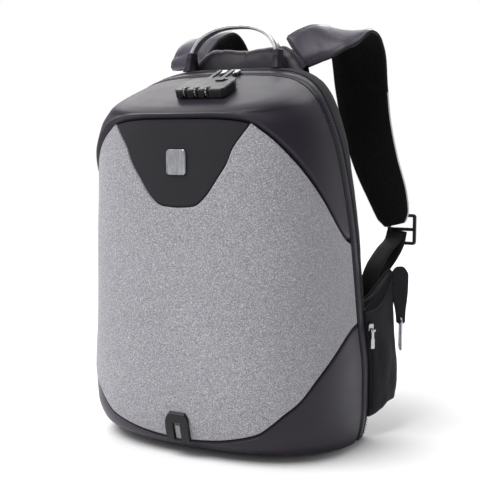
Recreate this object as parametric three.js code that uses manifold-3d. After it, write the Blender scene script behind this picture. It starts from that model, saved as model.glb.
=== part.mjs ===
// Anti theft backpack: a moulded front tub with a grey panel, a zipped gusset, a padded back,
// an arched bar handle, a three-dial lock and two shoulder straps. Millimetres, +Z up, the
// front faces -Y, x = 0 is the middle, y = 0 the side seam and z = 0 the floor it stands on.
import * as THREE from "three";
import { mergeVertices } from "three/addons/utils/BufferGeometryUtils.js";
import Module from "manifold-3d";

const wasm = await Module();
wasm.setup();

// Driving sizes of the bag's body
const BODY_HEIGHT = 450;
const BODY_HALF_WIDTH = 166;
const FRONT_DEPTH = 141;
const REAR_DEPTH = 48;
const GUSSET_WIDTH = 21;
const BACK_CORNER = 31;
const PIECE_GAP = 0.3;

// Walls and panels
const SHELL_WALL = 3;
const PANEL_THICKNESS = 3;
const PANEL_SEAT_GAP = 0.6;
const HOOD_RISE = 4;
const GROOVE_WIDTH = 3.5;
const EDGE_SLANT = 1.6;
const CORNER_DROP = 1;
const INSET_DROP = 0.6;
const ZIP_WIDTH = 7;
const ZIP_THICKNESS = 2.2;
const ZIP_SUNK = 1;
const GUSSET_WALL = 2;
const PIPING_RADIUS = 1.8;
const BACK_PAD = 11;
const BACK_CROWN = 3;

// Collar
const COLLAR_HALF_WIDTH = 80;
const COLLAR_HEIGHT = 27;
const COLLAR_FRONT_Y = 16;
const COLLAR_BACK_Y = 40;
const COLLAR_LEAN = 7;

// Handle
const HANDLE_HALF_SPAN = 60;
const HANDLE_RISE = 55;
const HANDLE_FOOT_RISE = 14;
const HANDLE_TOP = BODY_HEIGHT + HANDLE_RISE;
const HANDLE_FOOT_Z = BODY_HEIGHT + HANDLE_FOOT_RISE;
const HANDLE_X = -8;
const HANDLE_Y = 7.5;
const HANDLE_LEAN = 8;
const BAR_WIDTH = 13;
const BAR_THICKNESS = 6;
const SOCKET_WIDTH = 17;
const SOCKET_DEPTH = 12;
const SOCKET_WALL_GAP = 0.3;
const SOCKET_COVER = 8;

// Badge and bottom tab
const BADGE_WIDTH = 25;
const BADGE_HEIGHT = 28;
const BADGE_THICKNESS = 1.6;
const BADGE_BELOW_TOP = 112;
const BADGE_Z = BODY_HEIGHT - BADGE_BELOW_TOP;
const TAB_HALF_WIDTH = 15;
const TAB_BOTTOM_Z = 23;
const TAB_TOP_Z = 55;
const TAB_THICKNESS = 3.2;
const TAB_SLOT_WIDTH = 10;
const TAB_SLOT_TOP_Z = 42;
const TAB_STRIP_WIDTH = 6;
const TAB_STRIP_THICKNESS = 1.2;

// Lock
const LOCK_WIDTH = 64;
const LOCK_LENGTH = 42;
const LOCK_THICKNESS = 11;
const LOCK_X = 12;
const DIAL_RADIUS = 5.2;
const DIAL_WIDTH = 5;
const DIAL_PITCH = 14;
const DIAL_SIDES = 14;
const DIAL_PIN_RADIUS = 1.5;
const DIAL_BORE_GAP = 0.35;
const DIAL_SIDE_GAP = 0.5;
const DIAL_PROUD = 1.6;
const RELEASE_WIDTH = 10;
const RELEASE_LENGTH = 6;
const RELEASE_TRAVEL = 4;
const RELEASE_DEPTH = 3;
const PULL_WIDTH = 5.5;
const PULL_THICKNESS = 2;
const PULL_ENGAGE = 12;
const PULL_PITCH = 17;
const SLIDER_WIDTH = 9;
const SLIDER_LENGTH = 11;
const SLIDER_THICKNESS = 4;

// Straps
const STRAP_WIDTH = 72;
const STRAP_THICKNESS = 13;
const STRAP_STEPS = 22;
const WEB_WIDTH = 22;
const WEB_THICKNESS = 1.8;
const BUCKLE_WIDTH = 38;
const BUCKLE_HEIGHT = 40;
const BUCKLE_THICKNESS = 5;
const BUCKLE_BAR = 4;

// Wing, its pocket and the ring
const WING_REACH = 56;
const WING_THICKNESS = 20;
const POCKET_ZIP_WIDTH = 7;
const POCKET_ZIP_BOTTOM = 38;
const POCKET_ZIP_TOP = 146;
const POCKET_PULL_LENGTH = 20;
const POCKET_PULL_WIDTH = 5;
const POCKET_PULL_THICKNESS = 1.5;
const TAB_WEB_WIDTH = 16;
const TAB_WEB_THICKNESS = 4;
const RING_LENGTH = 44;
const RING_WIDTH = 15;
const RING_WIRE = 1.7;

// Colours of the finishes
const FINISH = {
  coated_fabric: finish(0x4a4852, 0.6, 0),
  grey_melange: finish(0x9b9aa2, 0.85, 0),
  inset_fabric: finish(0x2f2f36, 0.8, 0),
  black_fabric: finish(0x141417, 0.9, 0),
  black_mesh: finish(0x0b0b0d, 0.95, 0),
  black_plastic: finish(0x17171a, 0.4, 0),
  black_webbing: finish(0x101013, 0.8, 0),
  grey_strip: finish(0x8c8c92, 0.5, 0),
  bright_metal: finish(0xc9cacf, 0.3, 1),
  handle_metal: finish(0xd6d7da, 0.35, 1),
};

function finish(color, roughness, metalness) {
  return new THREE.MeshStandardMaterial({ color, roughness, metalness });
}

function table(columns, rows) {
  return rows.map((row) => Object.fromEntries(columns.map((name, i) => [name, row[i]])));
}

// The bag's level sections, from the floor (up 0) to the top (up 1). across, front and seam are
// shares of the half width and front depth, corner is the section's squareness, and slope is
// how far the section sinks towards the front, as a share of its distance from the seam plane.
const BODY = table(
  ["up", "across", "front", "corner", "slope", "seam"],
  [
    [0.0, 0.95, 0.665, 2.1, 0.0, -0.04],
    [0.015, 0.968, 0.85, 2.4, 0.0, -0.04],
    [0.045, 0.985, 0.965, 2.75, 0.0, -0.04],
    [0.1, 1.0, 1.01, 3.0, 0.0, -0.04],
    [0.18, 1.0, 1.02, 3.1, 0.0, -0.04],
    [0.335, 0.97, 1.01, 3.1, 0.0, 0.0],
    [0.545, 0.94, 1.01, 3.1, 0.0, 0.08],
    [0.65, 0.915, 1.01, 3.1, 0.0, 0.13],
    [0.78, 0.88, 1.01, 3.1, 0.03, 0.24],
    [0.87, 0.83, 1.01, 3.0, 0.12, 0.32],
    [0.925, 0.775, 1.0, 2.8, 0.21, 0.345],
    [0.96, 0.705, 0.985, 3.3, 0.29, 0.325],
    [0.98, 0.622, 0.93, 3.5, 0.325, 0.295],
    [0.991, 0.522, 0.81, 3.2, 0.345, 0.26],
    [0.998, 0.31, 0.5, 2.7, 0.355, 0.225],
    [1.0, 0.0, 0.22, 2.6, 0.355, 0.22],
  ],
);

// The grey panel's edges and the dark inset's, as heights (share of the body's height) at a
// place between the front's middle (side 0) and the seam (side 1).
const PANEL_EDGES = table(
  ["side", "bottom", "top"],
  [
    [0.0, 0.044, 0.93],
    [0.1, 0.052, 0.929],
    [0.2, 0.065, 0.922],
    [0.3, 0.083, 0.908],
    [0.36, 0.104, 0.893],
    [0.43, 0.13, 0.859],
    [0.533, 0.162, 0.805],
    [0.662, 0.215, 0.749],
    [0.83, 0.27, 0.665],
    [1.0, 0.322, 0.55],
  ],
);
const V_HALF_SPAN = 7;
const V_EDGE = table(
  ["side", "up"],
  [
    [0.0, 0.641],
    [0.03, 0.645],
    [0.068, 0.668],
    [0.119, 0.715],
    [0.17, 0.759],
    [0.206, 0.8],
    [0.29, 0.856],
    [0.36, 0.893],
  ],
);

// Shares of each height zone at which the shell and the panel have a row of vertices
const LOWER_ROWS = [0, 0.05, 0.14, 0.3, 0.6, 1];
const SEAT_ROWS = [0, 0.06, 0.14, 0.3, 0.55, 0.8, 1];
const PANEL_ROWS = [0, 0.02, 0.06, 0.14, 0.3, 0.55, 0.8, 0.97, 1];
const HOOD_ROWS = [0, 0.15, 0.35, 0.56, 0.74, 0.88, 0.96, 0.99, 1];
const COLUMN_SIDES = [0, 0.035, 0.075, 0.12, 0.17, 0.225, 0.29, 0.36, 0.44, 0.53, 0.62, 0.71, 0.8, 0.9, 1];
const COLUMNS_PER_SIDE = COLUMN_SIDES.length - 1;

// Straps, a row for each station from the root to the lower end: x outwards, y back, z up as
// shares of the half width, rear depth and body height; wide is a share of the strap's width,
// and roll is the tilt of that width from level, in degrees.
const STRAP_COLUMNS = ["out", "back", "high", "wide", "roll"];
const STRAPS = {
  right: table(STRAP_COLUMNS, [
    [0.35, 0.972, 1.043, 0.68, 40],
    [0.45, 1.24, 1.066, 0.8, 28],
    [0.57, 1.6, 1.086, 0.94, 14],
    [0.66, 2.05, 1.094, 1.0, 6],
    [0.68, 2.38, 1.052, 1.0, 2],
    [0.69, 2.6, 0.955, 0.97, 0],
    [0.72, 2.74, 0.85, 0.92, 0],
    [0.795, 2.83, 0.74, 0.83, 0],
    [0.89, 2.84, 0.65, 0.72, 0],
    [0.945, 2.812, 0.59, 0.58, 0],
    [0.965, 2.8, 0.562, 0.36, 0],
  ]),
  left: table(STRAP_COLUMNS, [
    [0.62, 1.06, 1.0135, 0.87, 33],
    [0.6, 1.24, 1.048, 1.0, 26],
    [0.575, 1.6, 1.088, 1.0, 12],
    [0.52, 2.05, 1.1, 1.0, 4],
    [0.48, 2.38, 1.06, 1.0, 0],
    [0.47, 2.6, 0.97, 0.97, 0],
    [0.52, 2.74, 0.86, 0.92, 0],
    [0.64, 2.83, 0.75, 0.83, 0],
    [0.78, 2.84, 0.655, 0.72, 0],
    [0.87, 2.812, 0.59, 0.58, 0],
    [0.9, 2.8, 0.562, 0.36, 0],
  ]),
};

// Webs, as shares of the half width, rear depth and body height. The adjusting web hangs from
// the buckle to the wing, and the tail leaves the buckle in an open loop.
const WEB_COLUMNS = ["out", "back", "high"];
const WEB_ROUTE = table(WEB_COLUMNS, [
  [0.985, 2.93, 0.546],
  [0.97, 2.88, 0.51],
  [0.93, 2.74, 0.47],
  [0.885, 2.45, 0.43],
  [0.87, 2.28, 0.4],
]);
const TAIL_ROUTE = table(WEB_COLUMNS, [
  [0.96, 2.865, 0.542],
  [0.95, 2.79, 0.52],
  [0.92, 2.45, 0.495],
  [0.885, 1.95, 0.45],
  [0.868, 1.72, 0.405],
  [0.862, 1.62, 0.368],
  [0.865, 1.66, 0.34],
  [0.872, 1.8, 0.333],
  [0.878, 1.98, 0.348],
]);

// The wing's levels: reach is the share of its full reach behind the body, and fat the share of
// its thickness there.
const WING = table(
  ["up", "reach", "fat"],
  [
    [0.06, 0.8, 0.7],
    [0.097, 0.92, 0.95],
    [0.19, 0.97, 1.05],
    [0.29, 1.0, 0.95],
    [0.345, 1.04, 0.7],
  ],
);
const WING_TOP_LIFT = 47;
const WING_TIP_LIFT = 17;

const BODY_SHAPE = curves(BODY, "up");
const EDGE_SHAPE = curves(PANEL_EDGES, "side");
const V_SHAPE = curves(V_EDGE, "side");
const WING_SHAPE = curves(WING, "up");

// Shared helpers

// A smooth function for each named column of a table, which never overshoots its rows.
function curves(rows, key) {
  const made = {};
  for (const name of Object.keys(rows[0])) {
    if (name !== key) made[name] = smooth(rows.map((r) => r[key]), rows.map((r) => r[name]));
  }
  return made;
}

function smooth(at, value) {
  const last = at.length - 1;
  const rise = at.slice(1).map((end, i) => (value[i + 1] - value[i]) / (end - at[i]));
  const slope = value.map((_, i) => {
    if (i === 0) return rise[0];
    if (i === last) return rise[last - 1];
    return rise[i - 1] * rise[i] <= 0 ? 0 : 2 / (1 / rise[i - 1] + 1 / rise[i]);
  });
  return (where) => {
    const q = Math.min(Math.max(where, at[0]), at[last]);
    let i = last - 1;
    while (i > 0 && q < at[i]) i -= 1;
    const span = at[i + 1] - at[i];
    const p = (q - at[i]) / span;
    const ease = p * p * (3 - 2 * p);
    const bend = slope[i] * p * (1 - p) ** 2 - slope[i + 1] * p * p * (1 - p);
    return value[i] + (value[i + 1] - value[i]) * ease + span * bend;
  };
}

function mix(a, b, share) {
  return a + (b - a) * share;
}

function solidMesh(name, geometry, material) {
  const mesh = new THREE.Mesh(geometry, material);
  mesh.name = name;
  return mesh;
}

// Merges shared vertices, drops the triangles that collapse and turns the faces outwards.
function closedGeometry(points, triangles) {
  const raw = new THREE.BufferGeometry();
  raw.setAttribute("position", new THREE.Float32BufferAttribute(points.flatMap((p) => p.toArray()), 3));
  raw.setIndex(triangles.flat());
  const merged = mergeVertices(raw, 1e-3);
  const index = merged.index.array;
  const at = merged.attributes.position;
  const a = new THREE.Vector3();
  const b = new THREE.Vector3();
  const c = new THREE.Vector3();
  let volume = 0;
  const kept = [];
  for (let i = 0; i < index.length; i += 3) {
    const corner = [index[i], index[i + 1], index[i + 2]];
    if (new Set(corner).size < 3) continue;
    kept.push(corner);
    a.fromBufferAttribute(at, corner[0]);
    b.fromBufferAttribute(at, corner[1]);
    c.fromBufferAttribute(at, corner[2]);
    volume += a.dot(b.cross(c));
  }
  merged.setIndex(kept.flatMap((t) => (volume < 0 ? [t[0], t[2], t[1]] : t)));
  merged.computeVertexNormals();
  return merged;
}

// A wall between an outer and an inner grid of points, closed along its four edges.
function wall(rows, columns, outer, inner) {
  const points = [];
  for (const face of [outer, inner]) {
    for (let r = 0; r <= rows; r += 1) {
      for (let c = 0; c <= columns; c += 1) points.push(face(r, c));
    }
  }
  const half = (rows + 1) * (columns + 1);
  const at = (r, c, face) => face * half + r * (columns + 1) + c;
  const triangles = [];
  const quad = (a, b, c, d) => triangles.push([a, b, c], [a, c, d]);
  for (let r = 0; r < rows; r += 1) {
    for (let c = 0; c < columns; c += 1) {
      quad(at(r, c, 0), at(r, c + 1, 0), at(r + 1, c + 1, 0), at(r + 1, c, 0));
      triangles.push([at(r, c, 1), at(r + 1, c + 1, 1), at(r, c + 1, 1)]);
      triangles.push([at(r, c, 1), at(r + 1, c, 1), at(r + 1, c + 1, 1)]);
    }
  }
  for (let c = 0; c < columns; c += 1) {
    quad(at(0, c + 1, 0), at(0, c, 0), at(0, c, 1), at(0, c + 1, 1));
    quad(at(rows, c, 0), at(rows, c + 1, 0), at(rows, c + 1, 1), at(rows, c, 1));
  }
  for (let r = 0; r < rows; r += 1) {
    quad(at(r, 0, 0), at(r + 1, 0, 0), at(r + 1, 0, 1), at(r, 0, 1));
    quad(at(r + 1, columns, 0), at(r, columns, 0), at(r, columns, 1), at(r + 1, columns, 1));
  }
  return closedGeometry(points, triangles);
}

// A closed skin through sections of equal length. A looped one joins its last section to its
// first, and an open one has flat ends.
function loft(sections, looped) {
  const size = sections[0].length;
  const points = sections.flat();
  const triangles = [];
  const joins = looped ? sections.length : sections.length - 1;
  for (let s = 0; s < joins; s += 1) {
    const here = s * size;
    const next = ((s + 1) % sections.length) * size;
    for (let k = 0; k < size; k += 1) {
      const l = (k + 1) % size;
      triangles.push([here + k, here + l, next + l], [here + k, next + l, next + k]);
    }
  }
  if (!looped) {
    const end = (sections.length - 1) * size;
    for (let k = 1; k < size - 1; k += 1) {
      triangles.push([0, k + 1, k], [end, end + k, end + k + 1]);
    }
  }
  return closedGeometry(points, triangles);
}

// Points round a section with flat sides and round corners, in a plane spanned by two vectors.
function roundSection(centre, wide, thick, halfWidth, halfThickness, sides, squareness) {
  const section = [];
  for (let k = 0; k < sides; k += 1) {
    const turn = ((k + 0.5) * 2 * Math.PI) / sides;
    const c = Math.cos(turn);
    const s = Math.sin(turn);
    const u = Math.sign(c) * Math.abs(c) ** squareness * halfWidth;
    const v = Math.sign(s) * Math.abs(s) ** squareness * halfThickness;
    section.push(centre.clone().addScaledVector(wide, u).addScaledVector(thick, v));
  }
  return section;
}

// Width and thickness directions across a curve, from the direction its width should take.
function crossFrame(tangent, wanted) {
  const wide = wanted.clone().addScaledVector(tangent, -wanted.dot(tangent)).normalize();
  const thick = new THREE.Vector3().crossVectors(tangent, wide).normalize();
  return { wide, thick };
}

// A flat band along a curve
function band(curve, steps, wanted, width, thickness) {
  const sections = [];
  for (let i = 0; i <= steps; i += 1) {
    const share = i / steps;
    const { wide, thick } = crossFrame(curve.getTangentAt(share), wanted);
    const centre = curve.getPointAt(share);
    const corner = (u, v) => {
      return centre.clone().addScaledVector(wide, u * width).addScaledVector(thick, v * thickness);
    };
    sections.push([corner(-0.5, -0.5), corner(0.5, -0.5), corner(0.5, 0.5), corner(-0.5, 0.5)]);
  }
  return loft(sections, false);
}

function toManifold(geometry) {
  const bare = geometry.clone();
  bare.deleteAttribute("normal");
  bare.deleteAttribute("uv");
  const merged = mergeVertices(bare.index ? bare.toNonIndexed() : bare, 1e-3);
  return new wasm.Manifold(
    new wasm.Mesh({
      numProp: 3,
      vertProperties: merged.attributes.position.array,
      triVerts: new Uint32Array(merged.index.array),
    }),
  );
}

function fromManifold(solid) {
  const mesh = solid.getMesh();
  const geometry = new THREE.BufferGeometry();
  geometry.setAttribute("position", new THREE.BufferAttribute(new Float32Array(mesh.vertProperties), 3));
  geometry.setIndex(new THREE.BufferAttribute(new Uint32Array(mesh.triVerts), 1));
  geometry.computeVertexNormals();
  return geometry;
}

function cut(geometry, ...tools) {
  return fromManifold(tools.reduce((left, tool) => left.subtract(toManifold(tool)), toManifold(geometry)));
}

function join(geometry, ...more) {
  return fromManifold(more.reduce((sum, piece) => sum.add(toManifold(piece)), toManifold(geometry)));
}

function box(width, depth, height, x, y, z) {
  return new THREE.BoxGeometry(width, depth, height).translate(x, y, z);
}

// A rectangle with round corners, centred on the origin
function roundedRectangle(width, height, radius) {
  const x = width / 2;
  const y = height / 2;
  const shape = new THREE.Shape();
  shape.moveTo(-x + radius, -y);
  shape.lineTo(x - radius, -y);
  shape.absarc(x - radius, -y + radius, radius, -Math.PI / 2, 0);
  shape.absarc(x - radius, y - radius, radius, 0, Math.PI / 2);
  shape.absarc(-x + radius, y - radius, radius, Math.PI / 2, Math.PI);
  shape.absarc(-x + radius, -y + radius, radius, Math.PI, 1.5 * Math.PI);
  return shape;
}

function plate(shape, thickness, bevel, curveSegments) {
  return new THREE.ExtrudeGeometry(shape, {
    depth: thickness - 2 * bevel,
    bevelEnabled: bevel > 0,
    bevelThickness: bevel,
    bevelSize: bevel,
    bevelOffset: -bevel,
    bevelSegments: 1,
    curveSegments,
  }).translate(0, 0, bevel);
}

// The bag's outer form

// A point of the front form, sunk by inset. side runs from -1, the left seam, over 0, the
// front's middle, to 1. reach draws the floor's row in to the middle of the seam.
function frontPoint(up, side, inset, reach = 1) {
  const turn = (Math.PI / 2) * (1 - Math.abs(side));
  const power = 2 / BODY_SHAPE.corner(up);
  const halfWidth = Math.max(BODY_SHAPE.across(up) * BODY_HALF_WIDTH - inset, 0);
  const seam = BODY_SHAPE.seam(up) * FRONT_DEPTH;
  const front = Math.max(BODY_SHAPE.front(up) * FRONT_DEPTH - inset, seam);
  const x = Math.sign(side) * halfWidth * Math.cos(turn) ** power;
  const y = -seam - (front - seam) * Math.sin(turn) ** power;
  const z = inset + up * (BODY_HEIGHT - 2 * inset) + BODY_SHAPE.slope(up) * y;
  return new THREE.Vector3(x * reach, mix(-seam, y, reach), z);
}

// A point of the outline behind the seam, at a distance y behind the seam plane.
function rimPoint(station, y, inset) {
  const { up, reach } = station;
  const halfWidth = Math.max(BODY_SHAPE.across(up) * BODY_HALF_WIDTH - inset, 0);
  const z = inset + up * (BODY_HEIGHT - 2 * inset) + BODY_SHAPE.slope(up) * Math.min(y, 0);
  return new THREE.Vector3(halfWidth * reach, y, z);
}

function seamY(up) {
  return -BODY_SHAPE.seam(up) * FRONT_DEPTH;
}

// Heights of the shell's rows at one column: floor centre, lower corner, panel and hood. Each
// row has its level: how far the shell lies under the form there.
function shellRows(side) {
  const edge = Math.abs(side);
  const bottom = EDGE_SHAPE.bottom(edge);
  const top = EDGE_SHAPE.top(edge);
  const slant = EDGE_SLANT / BODY_HEIGHT;
  const seat = PANEL_THICKNESS + PANEL_SEAT_GAP;
  const rise = HOOD_RISE * (1 - edge ** 3);
  return [
    { up: 0, reach: 0, level: 0 },
    ...LOWER_ROWS.map((share) => ({
      up: mix(0, bottom - slant, share),
      reach: 1,
      level: CORNER_DROP * Math.min(share * 4, 1) * Math.min(1, 2 - 2 * edge),
    })),
    ...SEAT_ROWS.map((share) => ({ up: mix(bottom, top, share), reach: 1, level: seat })),
    ...HOOD_ROWS.map((share) => ({
      up: mix(top + slant, 1, share),
      reach: 1,
      level: -rise * (1 - share) ** 2,
    })),
  ];
}

function columnSide(column) {
  const place = column - COLUMNS_PER_SIDE;
  return Math.sign(place) * COLUMN_SIDES[Math.abs(place)];
}

function frontShell() {
  const columns = 2 * COLUMNS_PER_SIDE;
  const grid = Array.from({ length: columns + 1 }, (_, c) => shellRows(columnSide(c)));
  const depth = PANEL_THICKNESS + PANEL_SEAT_GAP + SHELL_WALL;
  const point = (r, c, sink) => {
    const row = grid[c][r];
    return frontPoint(row.up, columnSide(c), sink ?? row.level, row.reach);
  };
  return wall(grid[0].length - 1, columns, (r, c) => point(r, c), (r, c) => point(r, c, depth));
}

// A piece that fills the shell's recess between two edges given as functions of the column
function recessPiece(firstColumn, lastColumn, shares, low, high, face, edgeDrop) {
  const point = (r, c, inset) => {
    const side = columnSide(firstColumn + c);
    return frontPoint(mix(low(side), high(side), shares[r]), side, inset);
  };
  const last = shares.length - 1;
  const columns = lastColumn - firstColumn;
  const top = (r) => face + (r === 0 || r === last ? edgeDrop : 0);
  return wall(last, columns, (r, c) => point(r, c, top(r)), (r, c) => point(r, c, PANEL_THICKNESS));
}

function isInV(side) {
  return Math.abs(side) < COLUMN_SIDES[V_HALF_SPAN] - 1e-6;
}

function frontPanel() {
  const gap = PIECE_GAP / BODY_HEIGHT;
  const groove = GROOVE_WIDTH / BODY_HEIGHT;
  const low = (side) => EDGE_SHAPE.bottom(Math.abs(side)) + gap;
  const high = (side) => {
    const edge = Math.abs(side);
    return isInV(side) ? V_SHAPE.up(edge) - 2 * gap : EDGE_SHAPE.top(edge) - groove;
  };
  return recessPiece(0, 2 * COLUMNS_PER_SIDE, PANEL_ROWS, low, high, 0, CORNER_DROP);
}

function vInset() {
  const gap = PIECE_GAP / BODY_HEIGHT;
  const groove = GROOVE_WIDTH / BODY_HEIGHT;
  const low = (side) => V_SHAPE.up(Math.abs(side)) + 2 * gap;
  const high = (side) => Math.max(EDGE_SHAPE.top(Math.abs(side)) - groove, low(side));
  const first = COLUMNS_PER_SIDE - V_HALF_SPAN + 1;
  const last = COLUMNS_PER_SIDE + V_HALF_SPAN - 1;
  return recessPiece(first, last, [0, 0.06, 0.35, 0.65, 0.94, 1], low, high, INSET_DROP, CORNER_DROP);
}

// Stations round the outline: up the right side, down the left and along the floor
function outlineStations() {
  const ups = shellRows(1)
    .slice(1)
    .map((row) => row.up);
  const right = ups.map((up) => ({ up, reach: 1 }));
  const left = ups
    .slice(0, -1)
    .reverse()
    .map((up) => ({ up, reach: -1 }));
  return [...right, ...left, { up: 0, reach: 0 }];
}

// A ring round the outline whose section at each station comes from profile, a function that
// gives a list of { y, inset }.
function outlineRing(profile) {
  const sections = outlineStations().map((station) =>
    profile(station.up).map(({ y, inset }) => rimPoint(station, y, inset)),
  );
  return loft(sections, true);
}

function zipFront(up) {
  return seamY(up) + PIECE_GAP;
}

function pipingY(up) {
  return seamY(up) + GUSSET_WIDTH;
}

function mainZip() {
  return outlineRing((up) => [
    { y: zipFront(up), inset: ZIP_SUNK },
    { y: zipFront(up) + ZIP_WIDTH, inset: ZIP_SUNK },
    { y: zipFront(up) + ZIP_WIDTH, inset: ZIP_SUNK + ZIP_THICKNESS },
    { y: zipFront(up), inset: ZIP_SUNK + ZIP_THICKNESS },
  ]);
}

function gusset() {
  const start = (up) => zipFront(up) + ZIP_WIDTH + PIECE_GAP;
  const end = (up) => pipingY(up) - PIPING_RADIUS - PIECE_GAP;
  return outlineRing((up) => [
    { y: start(up), inset: 0 },
    { y: end(up), inset: 0 },
    { y: end(up), inset: GUSSET_WALL },
    { y: start(up), inset: GUSSET_WALL },
  ]);
}

function piping() {
  const sides = 5;
  return outlineRing((up) =>
    Array.from({ length: sides }, (_, k) => {
      const turn = ((k + 0.5) * 2 * Math.PI) / sides;
      return {
        y: pipingY(up) + PIPING_RADIUS * Math.cos(turn),
        inset: PIPING_RADIUS * (1 + Math.sin(turn)),
      };
    }),
  );
}

// How far the rear corner has drawn in, at a share of the way round it
function rearCorner(up, share) {
  const start = pipingY(up) + PIPING_RADIUS + PIECE_GAP;
  const turn = share * 0.9 * (Math.PI / 2);
  return {
    y: start + (REAR_DEPTH - start) * Math.sin(turn),
    inset: (BACK_CORNER * (1 - Math.cos(turn))) / (1 - Math.cos(0.9 * (Math.PI / 2))),
  };
}

function rearShell() {
  const shares = [0, 0.38, 0.7, 1];
  return outlineRing((up) => {
    const outer = shares.map((share) => rearCorner(up, share));
    const inner = outer.map(({ y, inset }, i) => ({
      y: y - (GUSSET_WALL * i) / (shares.length - 1),
      inset: inset + GUSSET_WALL * (1 - (0.85 * i) / (shares.length - 1)),
    }));
    return [...outer, ...inner.reverse()];
  });
}

// The padded back: rings round the outline, drawn in to a point on either face
function backPanel() {
  const seat = BACK_CORNER + 2 * PIECE_GAP;
  const face = REAR_DEPTH;
  const rings = [
    { y: face - BACK_PAD, inset: seat + 2, fill: 0 },
    { y: face - BACK_PAD, inset: seat + 2, fill: 1 },
    { y: face - BACK_PAD + 3, inset: seat, fill: 1 },
    { y: face - 2, inset: seat, fill: 1 },
    { y: face + 0.3, inset: seat + 3, fill: 1 },
    { y: face + 1.5, inset: seat + 16, fill: 1 },
    { y: face + BACK_CROWN, inset: seat + 16, fill: 0.5 },
    { y: face + BACK_CROWN, inset: seat + 16, fill: 0 },
  ];
  const middle = BODY_HEIGHT / 2;
  const stations = outlineStations();
  const sections = rings.map(({ y, inset, fill }) =>
    stations.map((station) => {
      const p = rimPoint(station, y, inset);
      return new THREE.Vector3(p.x * fill, y, mix(middle, p.z, fill));
    }),
  );
  return loft(sections, false);
}

// Height of the rear shell's top surface over a point, found down its outline
function rearTopZ(x, y) {
  const steps = 400;
  for (let i = 0; i <= steps; i += 1) {
    const up = 1 - (0.2 * i) / steps;
    const start = pipingY(up) + PIPING_RADIUS + PIECE_GAP;
    const turn = Math.asin(Math.min(Math.max((y - start) / (REAR_DEPTH - start), 0), 0.987));
    const { inset } = rearCorner(up, turn / (0.9 * (Math.PI / 2)));
    const edge = rimPoint({ up, reach: 1 }, y, inset);
    if (edge.x >= Math.abs(x)) return edge.z;
  }
  return 0.8 * BODY_HEIGHT;
}

// The raised yoke: a section at each place across, standing on the rear shell
const COLLAR = table(
  ["out", "high"],
  [
    [-1.0, 0.12],
    [-0.86, 0.6],
    [-0.72, 0.94],
    [-0.6, 1.06],
    [-0.4, 1.02],
    [0.0, 0.96],
    [0.4, 1.02],
    [0.6, 1.06],
    [0.72, 0.94],
    [0.86, 0.6],
    [1.0, 0.12],
  ],
);

function collar() {
  const bottomSteps = 4;
  const sections = COLLAR.map(({ out, high }) => {
    const x = out * COLLAR_HALF_WIDTH;
    const seat = [];
    for (let i = 0; i <= bottomSteps; i += 1) {
      const y = mix(COLLAR_FRONT_Y, COLLAR_BACK_Y, i / bottomSteps);
      seat.push([y, rearTopZ(x, y) + 3 * PIECE_GAP]);
    }
    const front = seat[0][1];
    const top = Math.max(BODY_HEIGHT - 2 + high * COLLAR_HEIGHT, front + 2);
    const outline = [
      ...seat,
      [COLLAR_BACK_Y, mix(front, top, 0.8)],
      [COLLAR_BACK_Y - 4, top],
      [COLLAR_FRONT_Y + COLLAR_LEAN + 3, top],
      [COLLAR_FRONT_Y + COLLAR_LEAN, mix(front, top, 0.85)],
    ];
    return outline.map(([y, z]) => new THREE.Vector3(x, y, z));
  });
  return cut(loft(sections, false), socketBody(-1, PIECE_GAP), socketBody(1, PIECE_GAP));
}

// Handle

function handlePath() {
  const at = (share, height) =>
    new THREE.Vector3(
      HANDLE_X + HANDLE_HALF_SPAN * share,
      HANDLE_Y + HANDLE_LEAN * height,
      mix(HANDLE_FOOT_Z, HANDLE_TOP - BAR_THICKNESS / 2, height),
    );
  return new THREE.CatmullRomCurve3([
    at(-1.0, 0),
    at(-0.95, 0.3),
    at(-0.76, 0.68),
    at(-0.42, 0.93),
    at(0, 1),
    at(0.42, 0.93),
    at(0.76, 0.68),
    at(0.95, 0.3),
    at(1.0, 0),
  ]);
}

function handleBar() {
  const path = handlePath();
  const steps = 22;
  const front = new THREE.Vector3(0, -1, 0);
  const sections = [];
  for (let i = 0; i <= steps; i += 1) {
    const { wide, thick } = crossFrame(path.getTangentAt(i / steps), front);
    const centre = path.getPointAt(i / steps);
    sections.push(roundSection(centre, wide, thick, BAR_WIDTH / 2, BAR_THICKNESS / 2, 8, 0.75));
  }
  return loft(sections, false);
}

// The outer form of the end piece that the bar's foot stands in, grown by clear all round
function socketBody(hand, clear) {
  const x = HANDLE_X + hand * HANDLE_HALF_SPAN;
  const flare = 1.5;
  const innerEdge = Math.abs(x) - SOCKET_DEPTH / 2 - flare;
  const seat = rearTopZ(innerEdge, HANDLE_Y - SOCKET_WIDTH / 2 - flare) + 2 * PIECE_GAP;
  const levels = [
    { z: seat - clear, grow: flare },
    { z: seat + 5, grow: 0.5 },
    { z: HANDLE_FOOT_Z + SOCKET_COVER - 2, grow: 0 },
    { z: HANDLE_FOOT_Z + SOCKET_COVER + clear, grow: -1.5 },
  ];
  const wide = new THREE.Vector3(0, -1, 0);
  const thick = new THREE.Vector3(1, 0, 0);
  const sections = levels.map(({ z, grow }) => {
    const share = (z - HANDLE_FOOT_Z) / (HANDLE_TOP - HANDLE_FOOT_Z);
    const centre = new THREE.Vector3(x, HANDLE_Y + HANDLE_LEAN * Math.max(share, 0), z);
    const halfWidth = SOCKET_WIDTH / 2 + grow + clear;
    return roundSection(centre, wide, thick, halfWidth, SOCKET_DEPTH / 2 + grow + clear, 12, 0.6);
  });
  return loft(sections, false);
}

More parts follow.
